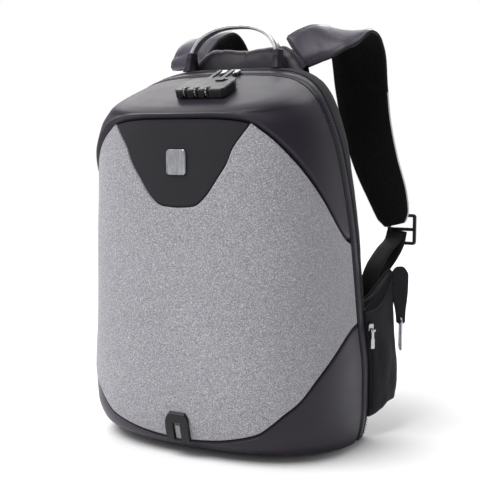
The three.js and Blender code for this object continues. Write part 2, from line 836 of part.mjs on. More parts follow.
function handleSocket(hand) {
  const hollowSections = [];
  const path = handlePath();
  const front = new THREE.Vector3(0, -1, 0);
  const halfWidth = BAR_WIDTH / 2 + SOCKET_WALL_GAP;
  const halfThickness = BAR_THICKNESS / 2 + SOCKET_WALL_GAP;
  for (let i = 0; i <= 4; i += 1) {
    const share = (i / 4) * 0.16;
    const along = hand < 0 ? share : 1 - share;
    const tangent = path.getTangentAt(along);
    const { wide: w, thick: t } = crossFrame(tangent, front);
    const centre = path.getPointAt(along);
    if (i === 0) centre.addScaledVector(tangent, hand * PIECE_GAP);
    hollowSections.push(roundSection(centre, w, t, halfWidth, halfThickness, 8, 0.75));
  }
  return cut(socketBody(hand, 0), loft(hollowSections, false));
}

// Badge, bottom tab and the strip in its slot

function badge() {
  const up = BADGE_Z / BODY_HEIGHT;
  const seat = frontPoint(up, 0, INSET_DROP);
  const geometry = plate(roundedRectangle(BADGE_WIDTH, BADGE_HEIGHT, 4), BADGE_THICKNESS, 0.5, 3);
  return geometry.rotateX(Math.PI / 2).translate(0, seat.y - 2 * PIECE_GAP, BADGE_Z);
}

function onFront(lowZ, highZ, halfWidth, steps, low, high) {
  const point = (r, c, inset) => {
    const up = mix(lowZ, highZ, r / steps) / BODY_HEIGHT;
    const p = frontPoint(up, 0, inset);
    return new THREE.Vector3(halfWidth(r / steps) * (c - 1), p.y, p.z);
  };
  return wall(steps, 2, (r, c) => point(r, c, -high), (r, c) => point(r, c, -low));
}

function bottomTab() {
  const taper = (share) => TAB_HALF_WIDTH * (share > 0.8 ? 1 - 1.6 * (share - 0.8) : 1);
  const seat = 2 * PIECE_GAP;
  const geometry = onFront(TAB_BOTTOM_Z, TAB_TOP_Z, taper, 8, seat, seat + TAB_THICKNESS);
  const slotHeight = TAB_SLOT_TOP_Z - TAB_BOTTOM_Z + 2;
  const slotDepth = 6 * TAB_THICKNESS;
  const middle = frontPoint(0.5 * (TAB_SLOT_TOP_Z + TAB_BOTTOM_Z) / BODY_HEIGHT, 0, 0).y;
  const slotZ = TAB_SLOT_TOP_Z - slotHeight / 2;
  return cut(geometry, box(TAB_SLOT_WIDTH, slotDepth, slotHeight, 0, middle, slotZ));
}

function tabStrip() {
  const seat = 2 * PIECE_GAP;
  const half = () => TAB_STRIP_WIDTH / 2;
  return onFront(TAB_BOTTOM_Z + 1, TAB_SLOT_TOP_Z - 2, half, 6, seat, seat + TAB_STRIP_THICKNESS);
}

// Lock: local x across, y up the hood's slope towards the zip, z out of the hood

const LOCK_SEAT = { low: 0.989, high: 0.9985, centre: 0.9955 };

function lockGroup() {
  const low = frontPoint(LOCK_SEAT.low, 0, 0);
  const high = frontPoint(LOCK_SEAT.high, 0, 0);
  const centre = frontPoint(LOCK_SEAT.centre, 0, 0);
  const group = new THREE.Group();
  const slope = Math.atan2(high.z - low.z, high.y - low.y);
  group.rotation.x = slope;
  group.position.set(LOCK_X, centre.y, centre.z);
  const lift = new THREE.Vector3(0, -Math.sin(slope), Math.cos(slope)).multiplyScalar(2 * PIECE_GAP);
  group.position.add(lift);
  return group;
}

function dialPlace(number) {
  return {
    x: (number - 2) * DIAL_PITCH - 4,
    y: -LOCK_LENGTH / 2 + DIAL_RADIUS - DIAL_PROUD,
    z: LOCK_THICKNESS - DIAL_RADIUS + DIAL_PROUD,
  };
}

function lockBody() {
  const back = LOCK_WIDTH / 2 - 5;
  const front = LOCK_WIDTH / 2;
  const y = LOCK_LENGTH / 2;
  const outline = new THREE.Shape([
    new THREE.Vector2(-front + 3, -y),
    new THREE.Vector2(front - 3, -y),
    new THREE.Vector2(front, -y + 4),
    new THREE.Vector2(front, y * 0.4),
    new THREE.Vector2(back, y),
    new THREE.Vector2(-back, y),
    new THREE.Vector2(-front, y * 0.4),
    new THREE.Vector2(-front, -y + 4),
  ]);
  const slab = plate(outline, LOCK_THICKNESS, 1.2, 1);
  const dialSlots = [1, 2, 3].map((number) => {
    const at = dialPlace(number);
    const room = 2 * (DIAL_RADIUS + 2 * PIECE_GAP);
    return box(DIAL_WIDTH + 2 * DIAL_SIDE_GAP, room, room, at.x, at.y, at.z);
  });
  const pullSlots = [-1, 1].map((hand) => {
    const depth = PULL_ENGAGE + 2 * PIECE_GAP;
    const height = PULL_THICKNESS + 2 * PIECE_GAP;
    const x = (hand * PULL_PITCH) / 2 - 6;
    return box(PULL_WIDTH + 2 * PIECE_GAP, depth + 1, height, x, y - depth / 2 + 0.5, LOCK_THICKNESS / 2);
  });
  const track = releaseTrack();
  const pinLength = 3 * DIAL_PITCH;
  const at = dialPlace(2);
  const pin = new THREE.CylinderGeometry(DIAL_PIN_RADIUS, DIAL_PIN_RADIUS, pinLength, 8)
    .rotateZ(Math.PI / 2)
    .translate(at.x, at.y, at.z);
  return join(cut(slab, ...dialSlots, ...pullSlots, track), pin);
}

function releasePlace() {
  return { x: LOCK_WIDTH / 2 - 19, y: LOCK_LENGTH / 2 - 11, z: LOCK_THICKNESS - RELEASE_DEPTH };
}

function releaseTrack() {
  const at = releasePlace();
  const width = RELEASE_WIDTH + RELEASE_TRAVEL + 2 * PIECE_GAP;
  const x = at.x + RELEASE_TRAVEL / 2;
  const depth = RELEASE_DEPTH + 1;
  return box(width, RELEASE_LENGTH + 2 * PIECE_GAP, depth, x, at.y, at.z + depth / 2);
}

function lockRelease() {
  const at = releasePlace();
  const height = RELEASE_DEPTH + 1.2;
  const slab = plate(roundedRectangle(RELEASE_WIDTH, RELEASE_LENGTH, 0.8), height, 0.4, 1);
  return slab.translate(at.x, at.y, at.z + PIECE_GAP);
}

function dial() {
  const bore = DIAL_PIN_RADIUS + DIAL_BORE_GAP;
  const half = DIAL_WIDTH / 2;
  const profile = [
    new THREE.Vector2(bore, -half),
    new THREE.Vector2(DIAL_RADIUS - 0.8, -half),
    new THREE.Vector2(DIAL_RADIUS, -half + 0.8),
    new THREE.Vector2(DIAL_RADIUS, half - 0.8),
    new THREE.Vector2(DIAL_RADIUS - 0.8, half),
    new THREE.Vector2(bore, half),
    new THREE.Vector2(bore, -half),
  ];
  return new THREE.LatheGeometry(profile, DIAL_SIDES).rotateZ(Math.PI / 2);
}

// Zip sliders on the main zip, and their pulls, which reach forward into the lock
function pullRun() {
  const zip = rimPoint({ up: 1, reach: 0 }, zipFront(1) + ZIP_WIDTH / 2, 0);
  const lock = lockGroup();
  lock.updateMatrixWorld(true);
  const local = lock.worldToLocal(zip.clone());
  return { start: LOCK_LENGTH / 2 - PULL_ENGAGE, zipY: local.y, zipZ: local.z };
}

function zipPull() {
  const { start, zipY } = pullRun();
  const end = zipY - SLIDER_LENGTH / 2 - PIECE_GAP;
  const length = end - start;
  const shape = roundedRectangle(PULL_WIDTH, length, 1.6);
  return plate(shape, PULL_THICKNESS, 0.4, 2)
    .translate(0, start + length / 2, LOCK_THICKNESS / 2 - PULL_THICKNESS / 2);
}

function zipSlider() {
  const { zipY, zipZ } = pullRun();
  const shape = roundedRectangle(SLIDER_WIDTH, SLIDER_LENGTH, 2.4);
  return plate(shape, SLIDER_THICKNESS, 0.8, 2).translate(0, zipY, zipZ + 1.5 * PIECE_GAP);
}

// Straps and webs

function routePoint(row, hand) {
  return new THREE.Vector3(
    hand * row.out * BODY_HALF_WIDTH,
    row.back * REAR_DEPTH,
    row.high * BODY_HEIGHT,
  );
}

function strap(rows, hand) {
  const path = new THREE.CatmullRomCurve3(rows.map((row) => routePoint(row, hand)), false, "centripetal");
  const place = rows.map((row, i) => ({ at: i / (rows.length - 1), wide: row.wide, roll: row.roll }));
  const shape = curves(place, "at");
  const sections = [];
  for (let i = 0; i <= STRAP_STEPS; i += 1) {
    const t = i / STRAP_STEPS;
    const roll = THREE.MathUtils.degToRad(shape.roll(t));
    const wanted = new THREE.Vector3(hand * Math.cos(roll), 0, -Math.sin(roll));
    const { wide, thick } = crossFrame(path.getTangent(t), wanted);
    const centre = path.getPoint(t);
    const thin = i === 0 || i === STRAP_STEPS ? 0.7 : 1;
    const halfThickness = (STRAP_THICKNESS / 2) * thin;
    const halfWidth = (shape.wide(t) * STRAP_WIDTH) / 2;
    sections.push(roundSection(centre, wide, thick, halfWidth, halfThickness, 12, 0.55));
  }
  return loft(sections, false);
}

// The web at the strap's side: one hand's lower end may lie nearer the middle
function webCurve(rows, hand, shift) {
  const points = rows.map((row) => routePoint(row, hand).add(new THREE.Vector3(shift, 0, 0)));
  return new THREE.CatmullRomCurve3(points, false, "centripetal");
}

function buckle() {
  const frame = roundedRectangle(BUCKLE_WIDTH, BUCKLE_HEIGHT, 4);
  const slotHeight = (BUCKLE_HEIGHT - 3 * BUCKLE_BAR) / 2;
  for (const hand of [-1, 1]) {
    const y = (hand * (slotHeight + BUCKLE_BAR)) / 2;
    const x = BUCKLE_WIDTH / 2 - BUCKLE_BAR;
    const hole = new THREE.Path([
      new THREE.Vector2(-x, y - slotHeight / 2),
      new THREE.Vector2(-x, y + slotHeight / 2),
      new THREE.Vector2(x, y + slotHeight / 2),
      new THREE.Vector2(x, y - slotHeight / 2),
    ]);
    frame.holes.push(hole);
  }
  const slab = plate(frame, BUCKLE_THICKNESS, 0.8, 2).translate(0, 0, -BUCKLE_THICKNESS / 2);
  return slab.rotateX(Math.PI / 2);
}

// Wing, its zip and the ring

// A point on the rear corner's surface, pushed clear of it
function rearSurface(up, share, hand, clear) {
  const { y, inset } = rearCorner(up, share);
  const turn = share * 0.9 * (Math.PI / 2);
  const point = rimPoint({ up, reach: hand }, y, inset);
  point.x += hand * clear * Math.cos(turn);
  point.y += clear * Math.sin(turn);
  return point;
}

function wing(hand) {
  const clear = 3 * PIECE_GAP;
  const sections = WING.map(({ up, reach, fat }) => {
    const root = [0.7, 0.38, 0.0].map((share) => rearSurface(up, share, hand, clear));
    const length = WING_REACH * reach;
    const thick = WING_THICKNESS * fat;
    const front = root[2];
    const lift = (share) => {
      if (up === WING[0].up) return WING_TIP_LIFT * share;
      return up === WING[WING.length - 1].up ? WING_TOP_LIFT * share * share : 0;
    };
    const along = (share, out, push) =>
      new THREE.Vector3(
        front.x + hand * (out + push * thick * 0.5),
        front.y + length * share,
        front.z + lift(share),
      );
    const outer = [along(0.28, 5, 0.6), along(0.62, 8, 0.9), along(0.94, 12, 0.5)];
    const tip = [along(1.0, 11, 0), along(0.94, 9, -0.5)];
    const inner = [along(0.62, 0, -0.9)];
    return [...inner, ...root, ...outer, ...tip];
  });
  return loft(sections, false);
}

function pocketZipPoint(z) {
  const up = z / BODY_HEIGHT;
  const clear = 2 * PIECE_GAP;
  const root = rearSurface(up, 0, 1, clear);
  const reach = WING_SHAPE.reach(up) * WING_REACH;
  const push = WING_SHAPE.fat(up) * WING_THICKNESS * 0.3;
  const share = 0.22;
  return new THREE.Vector3(root.x + (5 + push) * share + 1.7, root.y + 0.28 * reach * share, z);
}

function pocketZip() {
  const points = [0, 0.25, 0.5, 0.75, 1].map((share) => {
    return pocketZipPoint(mix(POCKET_ZIP_BOTTOM, POCKET_ZIP_TOP, share));
  });
  const path = new THREE.CatmullRomCurve3(points);
  return band(path, 8, pocketAlong(), POCKET_ZIP_WIDTH, 1.2);
}

// Direction over the wing's outer face from its root towards its tip
function pocketAlong() {
  const up = mix(POCKET_ZIP_BOTTOM, POCKET_ZIP_TOP, 0.7) / BODY_HEIGHT;
  const push = WING_SHAPE.fat(up) * WING_THICKNESS * 0.3;
  const reach = WING_SHAPE.reach(up) * WING_REACH;
  return new THREE.Vector3(5 + push, 0.28 * reach, 0).normalize();
}

// The slider's group: local x out of the wing, y along its face, z up
function pocketGroup() {
  const along = pocketAlong();
  const group = new THREE.Group();
  group.position.copy(pocketZipPoint(POCKET_ZIP_TOP - 8));
  group.rotation.z = Math.atan2(along.y, along.x) - Math.PI / 2;
  return group;
}

const POCKET_SLIDER_THICKNESS = 3;
const POCKET_BAIL_RADIUS = 1;
const POCKET_EYE_RADIUS = 1.4;
const POCKET_EYE_OUTER = 2.3;
const POCKET_SLIDER_LIFT = 1.2;

function pocketBailPlace() {
  return { x: POCKET_SLIDER_LIFT + POCKET_SLIDER_THICKNESS + POCKET_EYE_OUTER + PIECE_GAP, z: -3 };
}

function pocketSlider() {
  const body = plate(roundedRectangle(7, 10, 2), POCKET_SLIDER_THICKNESS, 0.5, 2)
    .rotateZ(Math.PI / 2)
    .rotateY(Math.PI / 2)
    .translate(POCKET_SLIDER_LIFT, 0, 0);
  const at = pocketBailPlace();
  const earLength = POCKET_EYE_OUTER + 2.2;
  const earY = POCKET_PULL_WIDTH / 2;
  const ears = [-1, 1].map((hand) => box(earLength, 1, 3.4, at.x + 1.6 - earLength / 2, hand * earY, at.z));
  const pin = new THREE.CylinderGeometry(POCKET_BAIL_RADIUS, POCKET_BAIL_RADIUS, POCKET_PULL_WIDTH, 8);
  return join(body, ...ears, pin.translate(at.x, 0, at.z));
}

// Hangs on the slider's pin, which passes through its eye
function pocketPull() {
  const at = pocketBailPlace();
  const width = POCKET_PULL_WIDTH - 1.6;
  const eye = new THREE.CylinderGeometry(POCKET_EYE_OUTER, POCKET_EYE_OUTER, width, 10);
  eye.translate(at.x, 0, at.z);
  const length = POCKET_PULL_LENGTH;
  const leaf = box(POCKET_PULL_THICKNESS, width, length, at.x, 0, at.z - length / 2);
  const foot = box(POCKET_PULL_THICKNESS, POCKET_PULL_WIDTH, 12, at.x, 0, at.z - length + 4);
  const bore = new THREE.CylinderGeometry(POCKET_EYE_RADIUS, POCKET_EYE_RADIUS, 9, 10);
  return cut(join(eye, leaf, foot), bore.translate(at.x, 0, at.z));
}

const TAB_TURN = 28;
const TAB_WEB_TOP = 207;
const TAB_WEB_BOTTOM = 137;
const TAB_HOLE_WIDTH = 5;
const TAB_HOLE_HEIGHT = 9;

// The ring's tab: local x across the web, y through it, z up, at the wing's outer corner
function anchorGroup() {
  const { up, fat } = WING[3];
  const root = rearSurface(up, 0, 1, 2 * PIECE_GAP);
  const group = new THREE.Group();
  const push = WING_THICKNESS * 0.5 * 0.5 * fat;
  group.position.set(root.x + 12 + push + TAB_WEB_WIDTH * 0.5, root.y + WING_REACH * 0.98, 0);
  group.rotation.z = THREE.MathUtils.degToRad(TAB_TURN);
  return group;
}

function anchorTab() {
  const length = TAB_WEB_TOP - TAB_WEB_BOTTOM;
  const strip = plate(roundedRectangle(TAB_WEB_WIDTH, length, 5), TAB_WEB_THICKNESS, 0.8, 2)
    .rotateX(Math.PI / 2)
    .translate(0, TAB_WEB_THICKNESS / 2, TAB_WEB_BOTTOM + length / 2);
  const hole = box(TAB_HOLE_WIDTH, 2 * TAB_WEB_THICKNESS, TAB_HOLE_HEIGHT, 0, 0, TAB_WEB_BOTTOM + 8);
  return cut(strip, hole);
}

// A long ring of wire through the tab's hole, hanging in the plane across the web
function clipRing() {
  const end = RING_WIDTH / 2 - RING_WIRE;
  const straight = RING_LENGTH / 2 - RING_WIDTH / 2;
  const steps = 6;
  const middle = [];
  for (const hand of [1, -1]) {
    for (let i = 0; i <= steps; i += 1) {
      const turn = (i / steps) * Math.PI;
      const y = hand * end * Math.cos(turn);
      const z = hand * (straight + end * Math.sin(turn));
      middle.push({ y, z, turn, hand });
    }
  }
  const top = TAB_WEB_BOTTOM + 8 - TAB_HOLE_HEIGHT / 2 + PIECE_GAP + 2 * RING_WIRE;
  const sections = middle.map(({ y, z, turn, hand }) => {
    const out = new THREE.Vector3(0, hand * Math.cos(turn), hand * Math.sin(turn));
    const across = new THREE.Vector3(1, 0, 0);
    const centre = new THREE.Vector3(0, y, z + top - RING_LENGTH / 2 + RING_WIRE * 0.5);
    return roundSection(centre, across, out, RING_WIRE, RING_WIRE, 6, 1);
  });
  return loft(sections, true);
}

// Assembly

const bag = new THREE.Group();

function add(parent, name, geometry, material) {
  const mesh = solidMesh(name, geometry, material);
  parent.add(mesh);
  return mesh;
}

add(bag, "front_shell", frontShell(), FINISH.coated_fabric);
add(bag, "front_panel", frontPanel(), FINISH.grey_melange);
add(bag, "v_inset", vInset(), FINISH.inset_fabric);
add(bag, "badge", badge(), FINISH.bright_metal);
add(bag, "bottom_tab", bottomTab(), FINISH.black_plastic);
add(bag, "tab_strip", tabStrip(), FINISH.grey_strip);
add(bag, "main_zip", mainZip(), FINISH.black_webbing);
add(bag, "gusset", gusset(), FINISH.coated_fabric);
add(bag, "piping", piping(), FINISH.black_fabric);
add(bag, "rear_shell", rearShell(), FINISH.black_fabric);
add(bag, "back_panel", backPanel(), FINISH.black_mesh);
add(bag, "collar", collar(), FINISH.coated_fabric);
add(bag, "handle_bar", handleBar(), FINISH.handle_metal);
add(bag, "handle_socket_right", handleSocket(1), FINISH.coated_fabric);
add(bag, "handle_socket_left", handleSocket(-1), FINISH.coated_fabric);

const lock = lockGroup();
bag.add(lock);
add(lock, "lock_body", lockBody(), FINISH.black_plastic);
add(lock, "lock_release", lockRelease(), FINISH.black_plastic);
for (const number of [1, 2, 3]) {
  const at = dialPlace(number);
  add(lock, "dial_" + number, dial(), FINISH.black_plastic).position.set(at.x, at.y, at.z);
}
for (const [name, hand] of [["left", -1], ["right", 1]]) {
  const x = (hand * PULL_PITCH) / 2 - 6;
  add(lock, "zip_pull_" + name, zipPull(), FINISH.bright_metal).position.x = x;
  add(lock, "zip_slider_" + name, zipSlider(), FINISH.bright_metal).position.x = x;
}

for (const [name, hand] of [["right", 1], ["left", -1]]) {
  const rows = STRAPS[name];
  const rightEnd = STRAPS.right[rows.length - 1];
  const end = rows[rows.length - 1];
  const shift = hand * (end.out - rightEnd.out) * BODY_HALF_WIDTH;
  const across = new THREE.Vector3(1, 0, 0);
  add(bag, "strap_" + name, strap(rows, hand), FINISH.coated_fabric);
  const web = band(webCurve(WEB_ROUTE, hand, shift), 8, across, WEB_WIDTH, WEB_THICKNESS);
  const tail = band(webCurve(TAIL_ROUTE, hand, shift), 14, across, WEB_WIDTH, WEB_THICKNESS);
  add(bag, "webbing_" + name, web, FINISH.black_webbing);
  add(bag, "webbing_tail_" + name, tail, FINISH.black_webbing);
  const held = add(bag, "buckle_" + name, buckle(), FINISH.black_plastic);
  const place = routePoint({ out: 1.0, back: 3.012, high: 0.549 }, hand);
  held.position.copy(place).add(new THREE.Vector3(shift, 0, 0));
  add(bag, "wing_" + name, wing(hand), FINISH.black_fabric);
}

add(bag, "pocket_zip", pocketZip(), FINISH.black_webbing);
const pocket = pocketGroup();
bag.add(pocket);
add(pocket, "pocket_slider", pocketSlider(), FINISH.bright_metal);
add(pocket, "pocket_pull", pocketPull(), FINISH.bright_metal);

const anchor = anchorGroup();
bag.add(anchor);
add(anchor, "anchor_tab", anchorTab(), FINISH.black_webbing);
add(anchor, "clip_ring", clipRing(), FINISH.bright_metal);

export default bag;
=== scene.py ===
import math

import bmesh
import bpy
import numpy as np
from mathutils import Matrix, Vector
from mathutils.noise import noise


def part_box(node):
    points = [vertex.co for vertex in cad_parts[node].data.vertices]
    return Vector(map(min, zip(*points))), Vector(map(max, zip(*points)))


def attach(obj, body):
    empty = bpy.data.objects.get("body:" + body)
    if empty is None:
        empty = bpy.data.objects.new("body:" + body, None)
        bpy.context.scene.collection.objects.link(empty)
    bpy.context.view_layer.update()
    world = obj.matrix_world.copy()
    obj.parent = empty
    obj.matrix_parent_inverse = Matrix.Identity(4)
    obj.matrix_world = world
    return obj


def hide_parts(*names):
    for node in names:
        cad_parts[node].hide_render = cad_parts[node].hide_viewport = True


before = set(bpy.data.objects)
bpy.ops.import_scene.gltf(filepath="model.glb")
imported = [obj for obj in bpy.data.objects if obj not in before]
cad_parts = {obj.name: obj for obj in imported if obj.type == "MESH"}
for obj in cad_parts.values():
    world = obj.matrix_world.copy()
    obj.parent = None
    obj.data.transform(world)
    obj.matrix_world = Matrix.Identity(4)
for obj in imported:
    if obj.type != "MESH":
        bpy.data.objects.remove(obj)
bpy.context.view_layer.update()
MM = 0.001

# --- camera


def link(obj):
    bpy.context.scene.collection.objects.link(obj)
    return obj


AZIMUTH = math.radians(28)
ELEVATION = math.radians(6)
DISTANCE = 1.2
TARGET_SHIFT = 0.004
TARGET_HEIGHT = 0.238
LENS = 72
SENSOR = 36

flat = math.cos(ELEVATION)
back = Vector((math.sin(AZIMUTH) * flat, -math.cos(AZIMUTH) * flat, math.sin(ELEVATION)))
right = Vector((math.cos(AZIMUTH), math.sin(AZIMUTH), 0))
camera_data = bpy.data.cameras.new("camera")
camera_data.lens = LENS
camera_data.sensor_width = SENSOR
camera_data.sensor_height = SENSOR
camera_data.clip_start = 0.05
camera = link(bpy.data.objects.new("camera", camera_data))
camera.location = right * TARGET_SHIFT + Vector((0, 0, TARGET_HEIGHT)) + back * DISTANCE
camera.rotation_mode = "QUATERNION"
camera.rotation_quaternion = (-back).to_track_quat("-Z", "Y")
bpy.context.scene.camera = camera

# --- the body's law, in mm

BODY_HEIGHT = 450
BODY_HALF_WIDTH = 166
FRONT_DEPTH = 141
REAR_DEPTH = 48
GUSSET_WIDTH = 21
BACK_CORNER = 31
REAR_TURN = 0.9 * (np.pi / 2)
GAP = 0.3
PANEL_SEAT = 3.6
HOOD_RISE = 4
GROOVE_WIDTH = 3.5
EDGE_SLANT = 1.6
CORNER_DROP = 1
INSET_DROP = 0.6
ZIP_WIDTH = 7
ZIP_SUNK = 1
PIPING_RADIUS = 1.8
BACK_PAD = 11

# Share up, share of half width, front reach, corner power, hood slope, seam's share of the depth
BODY = np.array([
    [0.0, 0.95, 0.665, 2.1, 0.0, -0.04], [0.015, 0.968, 0.85, 2.4, 0.0, -0.04],
    [0.045, 0.985, 0.965, 2.75, 0.0, -0.04], [0.1, 1.0, 1.01, 3.0, 0.0, -0.04],
    [0.18, 1.0, 1.02, 3.1, 0.0, -0.04], [0.335, 0.97, 1.01, 3.1, 0.0, 0.0],
    [0.545, 0.94, 1.01, 3.1, 0.0, 0.08], [0.65, 0.915, 1.01, 3.1, 0.0, 0.13],
    [0.78, 0.88, 1.01, 3.1, 0.03, 0.24], [0.87, 0.83, 1.01, 3.0, 0.12, 0.32],
    [0.925, 0.775, 1.0, 2.8, 0.21, 0.345], [0.96, 0.705, 0.985, 3.3, 0.29, 0.325],
    [0.98, 0.622, 0.93, 3.5, 0.325, 0.295], [0.991, 0.522, 0.81, 3.2, 0.345, 0.26],
    [0.998, 0.31, 0.5, 2.7, 0.355, 0.225], [1.0, 0.0, 0.22, 2.6, 0.355, 0.22],
])
# Share towards a side, panel's lower and upper edge as shares up
PANEL_EDGES = np.array([
    [0.0, 0.044, 0.93], [0.1, 0.052, 0.929], [0.2, 0.065, 0.922], [0.3, 0.083, 0.908],
    [0.36, 0.104, 0.893], [0.43, 0.13, 0.859], [0.533, 0.162, 0.805], [0.662, 0.215, 0.749],
    [0.83, 0.27, 0.665], [1.0, 0.322, 0.55],
])
# Share towards a side, inset's lower edge as a share up
V_EDGE = np.array([
    [0.0, 0.641], [0.03, 0.645], [0.068, 0.668], [0.119, 0.715],
    [0.17, 0.759], [0.206, 0.8], [0.29, 0.856], [0.36, 0.893],
])
V_SIDE = 0.36


def smooth(at, value, where):
    """A curve through a table's rows that never overshoots them."""
    rise = np.diff(value) / np.diff(at)
    slope = np.zeros(len(at))
    slope[0], slope[-1] = rise[0], rise[-1]
    for i in range(1, len(at) - 1):
        if rise[i - 1] * rise[i] > 0:
            slope[i] = 2 / (1 / rise[i - 1] + 1 / rise[i])
    q = np.clip(np.asarray(where, float), at[0], at[-1])
    i = np.clip(np.searchsorted(at, q, side="right") - 1, 0, len(at) - 2)
    span = at[i + 1] - at[i]
    p = (q - at[i]) / span
    bend = slope[i] * p * (1 - p) ** 2 - slope[i + 1] * p * p * (1 - p)
    return value[i] + (value[i + 1] - value[i]) * p * p * (3 - 2 * p) + span * bend


def read(table, column, where):
    return smooth(table[:, 0], table[:, column], where)


def full_turn(count):
    return np.linspace(0, 2 * np.pi, count, endpoint=False)


def squared(value, exponent):
    """A power that keeps the sign: it flattens the sides of a round section."""
    return np.sign(value) * np.abs(value) ** exponent


def lengths(path):
    """Length along a path at each of its points."""
    return np.concatenate([[0], np.cumsum(np.linalg.norm(np.diff(path, axis=0), axis=1))])


def unit(v):
    return v / np.linalg.norm(v, axis=-1, keepdims=True)


def crosswise(v, tangent):
    """The direction nearest to v across a unit tangent."""
    return unit(v - (v * tangent).sum(-1, keepdims=True) * tangent)


def swept(path, u, v, wide, thick):
    """One section, u wide and v thick, at each point of a path."""
    return path[:, None] + u[None, :, None] * wide[:, None] + v[None, :, None] * thick[:, None]


def between(at, known, values):
    """Points or directions between known ones."""
    return np.stack([np.interp(at, known, values[:, k]) for k in range(3)], -1)


def body(up, column):
    return read(BODY, column, up)


def across(up):
    return body(up, 1)


def seam_y(up):
    return -body(up, 5) * FRONT_DEPTH


def rear_start(up):
    """Where the rear shell's side begins, behind the piping."""
    return seam_y(up) + GUSSET_WIDTH + PIPING_RADIUS + GAP


def rear_corner(up, share):
    """Place and inset of the rear shell's side, from its start (0) to the back (1)."""
    start = rear_start(up)
    turn = share * REAR_TURN
    y = start + (REAR_DEPTH - start) * math.sin(turn)
    return y, BACK_CORNER * (1 - math.cos(turn)) / (1 - math.cos(REAR_TURN))


def panel_bottom(side):
    return read(PANEL_EDGES, 1, np.abs(side))


def panel_top(side):
    return read(PANEL_EDGES, 2, np.abs(side))


def v_up(side):
    return read(V_EDGE, 1, np.abs(side))


def front_point(up, side, inset, reach=1.0):
    """A point of the front, from left (-1) to right (1), moved in by inset."""
    up, side, inset, reach = np.broadcast_arrays(*(np.asarray(v, float) for v in (up, side, inset, reach)))
    turn = (np.pi / 2) * (1 - np.abs(side))
    power = 2 / body(up, 3)
    half = np.maximum(across(up) * BODY_HALF_WIDTH - inset, 0)
    seam = -seam_y(up)
    front = np.maximum(body(up, 2) * FRONT_DEPTH - inset, seam)
    x = np.sign(side) * half * np.cos(turn) ** power
    y = -seam - (front - seam) * np.sin(turn) ** power
    z = inset + up * (BODY_HEIGHT - 2 * inset) + body(up, 4) * y
    return np.stack([x * reach, -seam + (y + seam) * reach, z], -1)


def rim_point(up, reach, y, inset):
    """A point of the outline, from left (-1) to right (1), at depth y, moved in by inset."""
    up, reach, y, inset = np.broadcast_arrays(*(np.asarray(v, float) for v in (up, reach, y, inset)))
    half = np.maximum(across(up) * BODY_HALF_WIDTH - inset, 0)
    z = inset + up * (BODY_HEIGHT - 2 * inset) + body(up, 4) * np.minimum(y, 0)
    return np.stack([half * reach, y, z], -1)


def outline(count):
    """Evenly spaced stations (up, reach) round the outline, from the floor's right end."""
    t = np.linspace(0, 1, 1500)
    ups = np.unique(np.concatenate([0.5 * t**2, 1 - 0.5 * (1 - t) ** 3]))
    up = np.concatenate([ups, ups[::-1], np.zeros(60)])
    reach = np.concatenate([np.ones(len(ups)), -np.ones(len(ups)), np.linspace(-1, 1, 60)])
    p = rim_point(up, reach, 0, 0)
    along = lengths(p)
    at = np.linspace(0, along[-1], count, endpoint=False)
    return np.interp(at, along, up), np.interp(at, along, reach)


# --- mesh helpers


def grain(p, scale, seed=0.0):
    """Smooth noise, -1 to 1, at points given in mm."""
    flat = p.reshape(-1, 3) * scale + seed
    return np.array([noise(Vector(q)) for q in flat]).reshape(p.shape[:-1])


def smoothstep(a, b, x):
    t = np.clip((x - a) / (b - a), 0, 1)
    return t * t * (3 - 2 * t)


def new_object(name, vertices, faces, material, rides="bag", uvs=None, shade=True):
    mesh = bpy.data.meshes.new(name)
    mesh.from_pydata([tuple(v) for v in np.asarray(vertices) * MM], [], faces)
    mesh.validate()
    mesh.update()
    if uvs is not None:
        layer = mesh.uv_layers.new(name="uv")
        for loop in mesh.loops:
            layer.data[loop.index].uv = uvs[loop.vertex_index]
    obj = link(bpy.data.objects.new(name, mesh))
    for m in material if isinstance(material, list) else [material]:
        mesh.materials.append(m)
    if shade:
        mesh.polygons.foreach_set("use_smooth", [True] * len(mesh.polygons))
    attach(obj, rides)
    return obj


def grid_faces(rows, columns, wrap_rows=False, wrap_columns=False):
    faces = []
    for r in range(rows if wrap_rows else rows - 1):
        here, ahead = r * columns, (r + 1) % rows * columns
        for c in range(columns if wrap_columns else columns - 1):
            d = (c + 1) % columns
            faces.append((here + c, here + d, ahead + d, ahead + c))
    return faces


def outward(obj):
    """Turns the faces outwards, by the mesh's own signed volume."""
    bm = bmesh.new()
    bm.from_mesh(obj.data)
    bmesh.ops.remove_doubles(bm, verts=bm.verts, dist=1e-6)
    bmesh.ops.recalc_face_normals(bm, faces=bm.faces)
    bm.to_mesh(obj.data)
    bm.free()
    return obj


def skin(name, grid, material, wrap=(False, False), caps=False):
    """A surface through a grid of points, joined round its rows or columns and closed by caps."""
    rows, columns = grid.shape[:2]
    faces = grid_faces(rows, columns, *wrap)
    vertices = grid.reshape(-1, 3)
    if caps:
        ends = [grid[0].mean(0), grid[-1].mean(0)]
        vertices = np.concatenate([vertices, ends])
        n = rows * columns
        for c in range(columns):
            d = (c + 1) % columns
            faces.append((n, d, c))
            faces.append((n + 1, (rows - 1) * columns + c, (rows - 1) * columns + d))
    obj = new_object(name, vertices, faces, material)
    return outward(obj) if caps or all(wrap) else obj


def tube(name, path, radius, material, sides=10, closed=False, hint=(0.0, 1.0, 0.0)):
    path = np.asarray(path, float)
    tangent = unit(np.roll(path, -1, 0) - np.roll(path, 1, 0) if closed else np.gradient(path, axis=0))
    a = crosswise(np.tile(hint, (len(path), 1)), tangent)
    turn = full_turn(sides)
    grid = swept(path, radius * np.cos(turn), radius * np.sin(turn), a, np.cross(tangent, a))
    return skin(name, grid, material, (closed, True), caps=not closed)


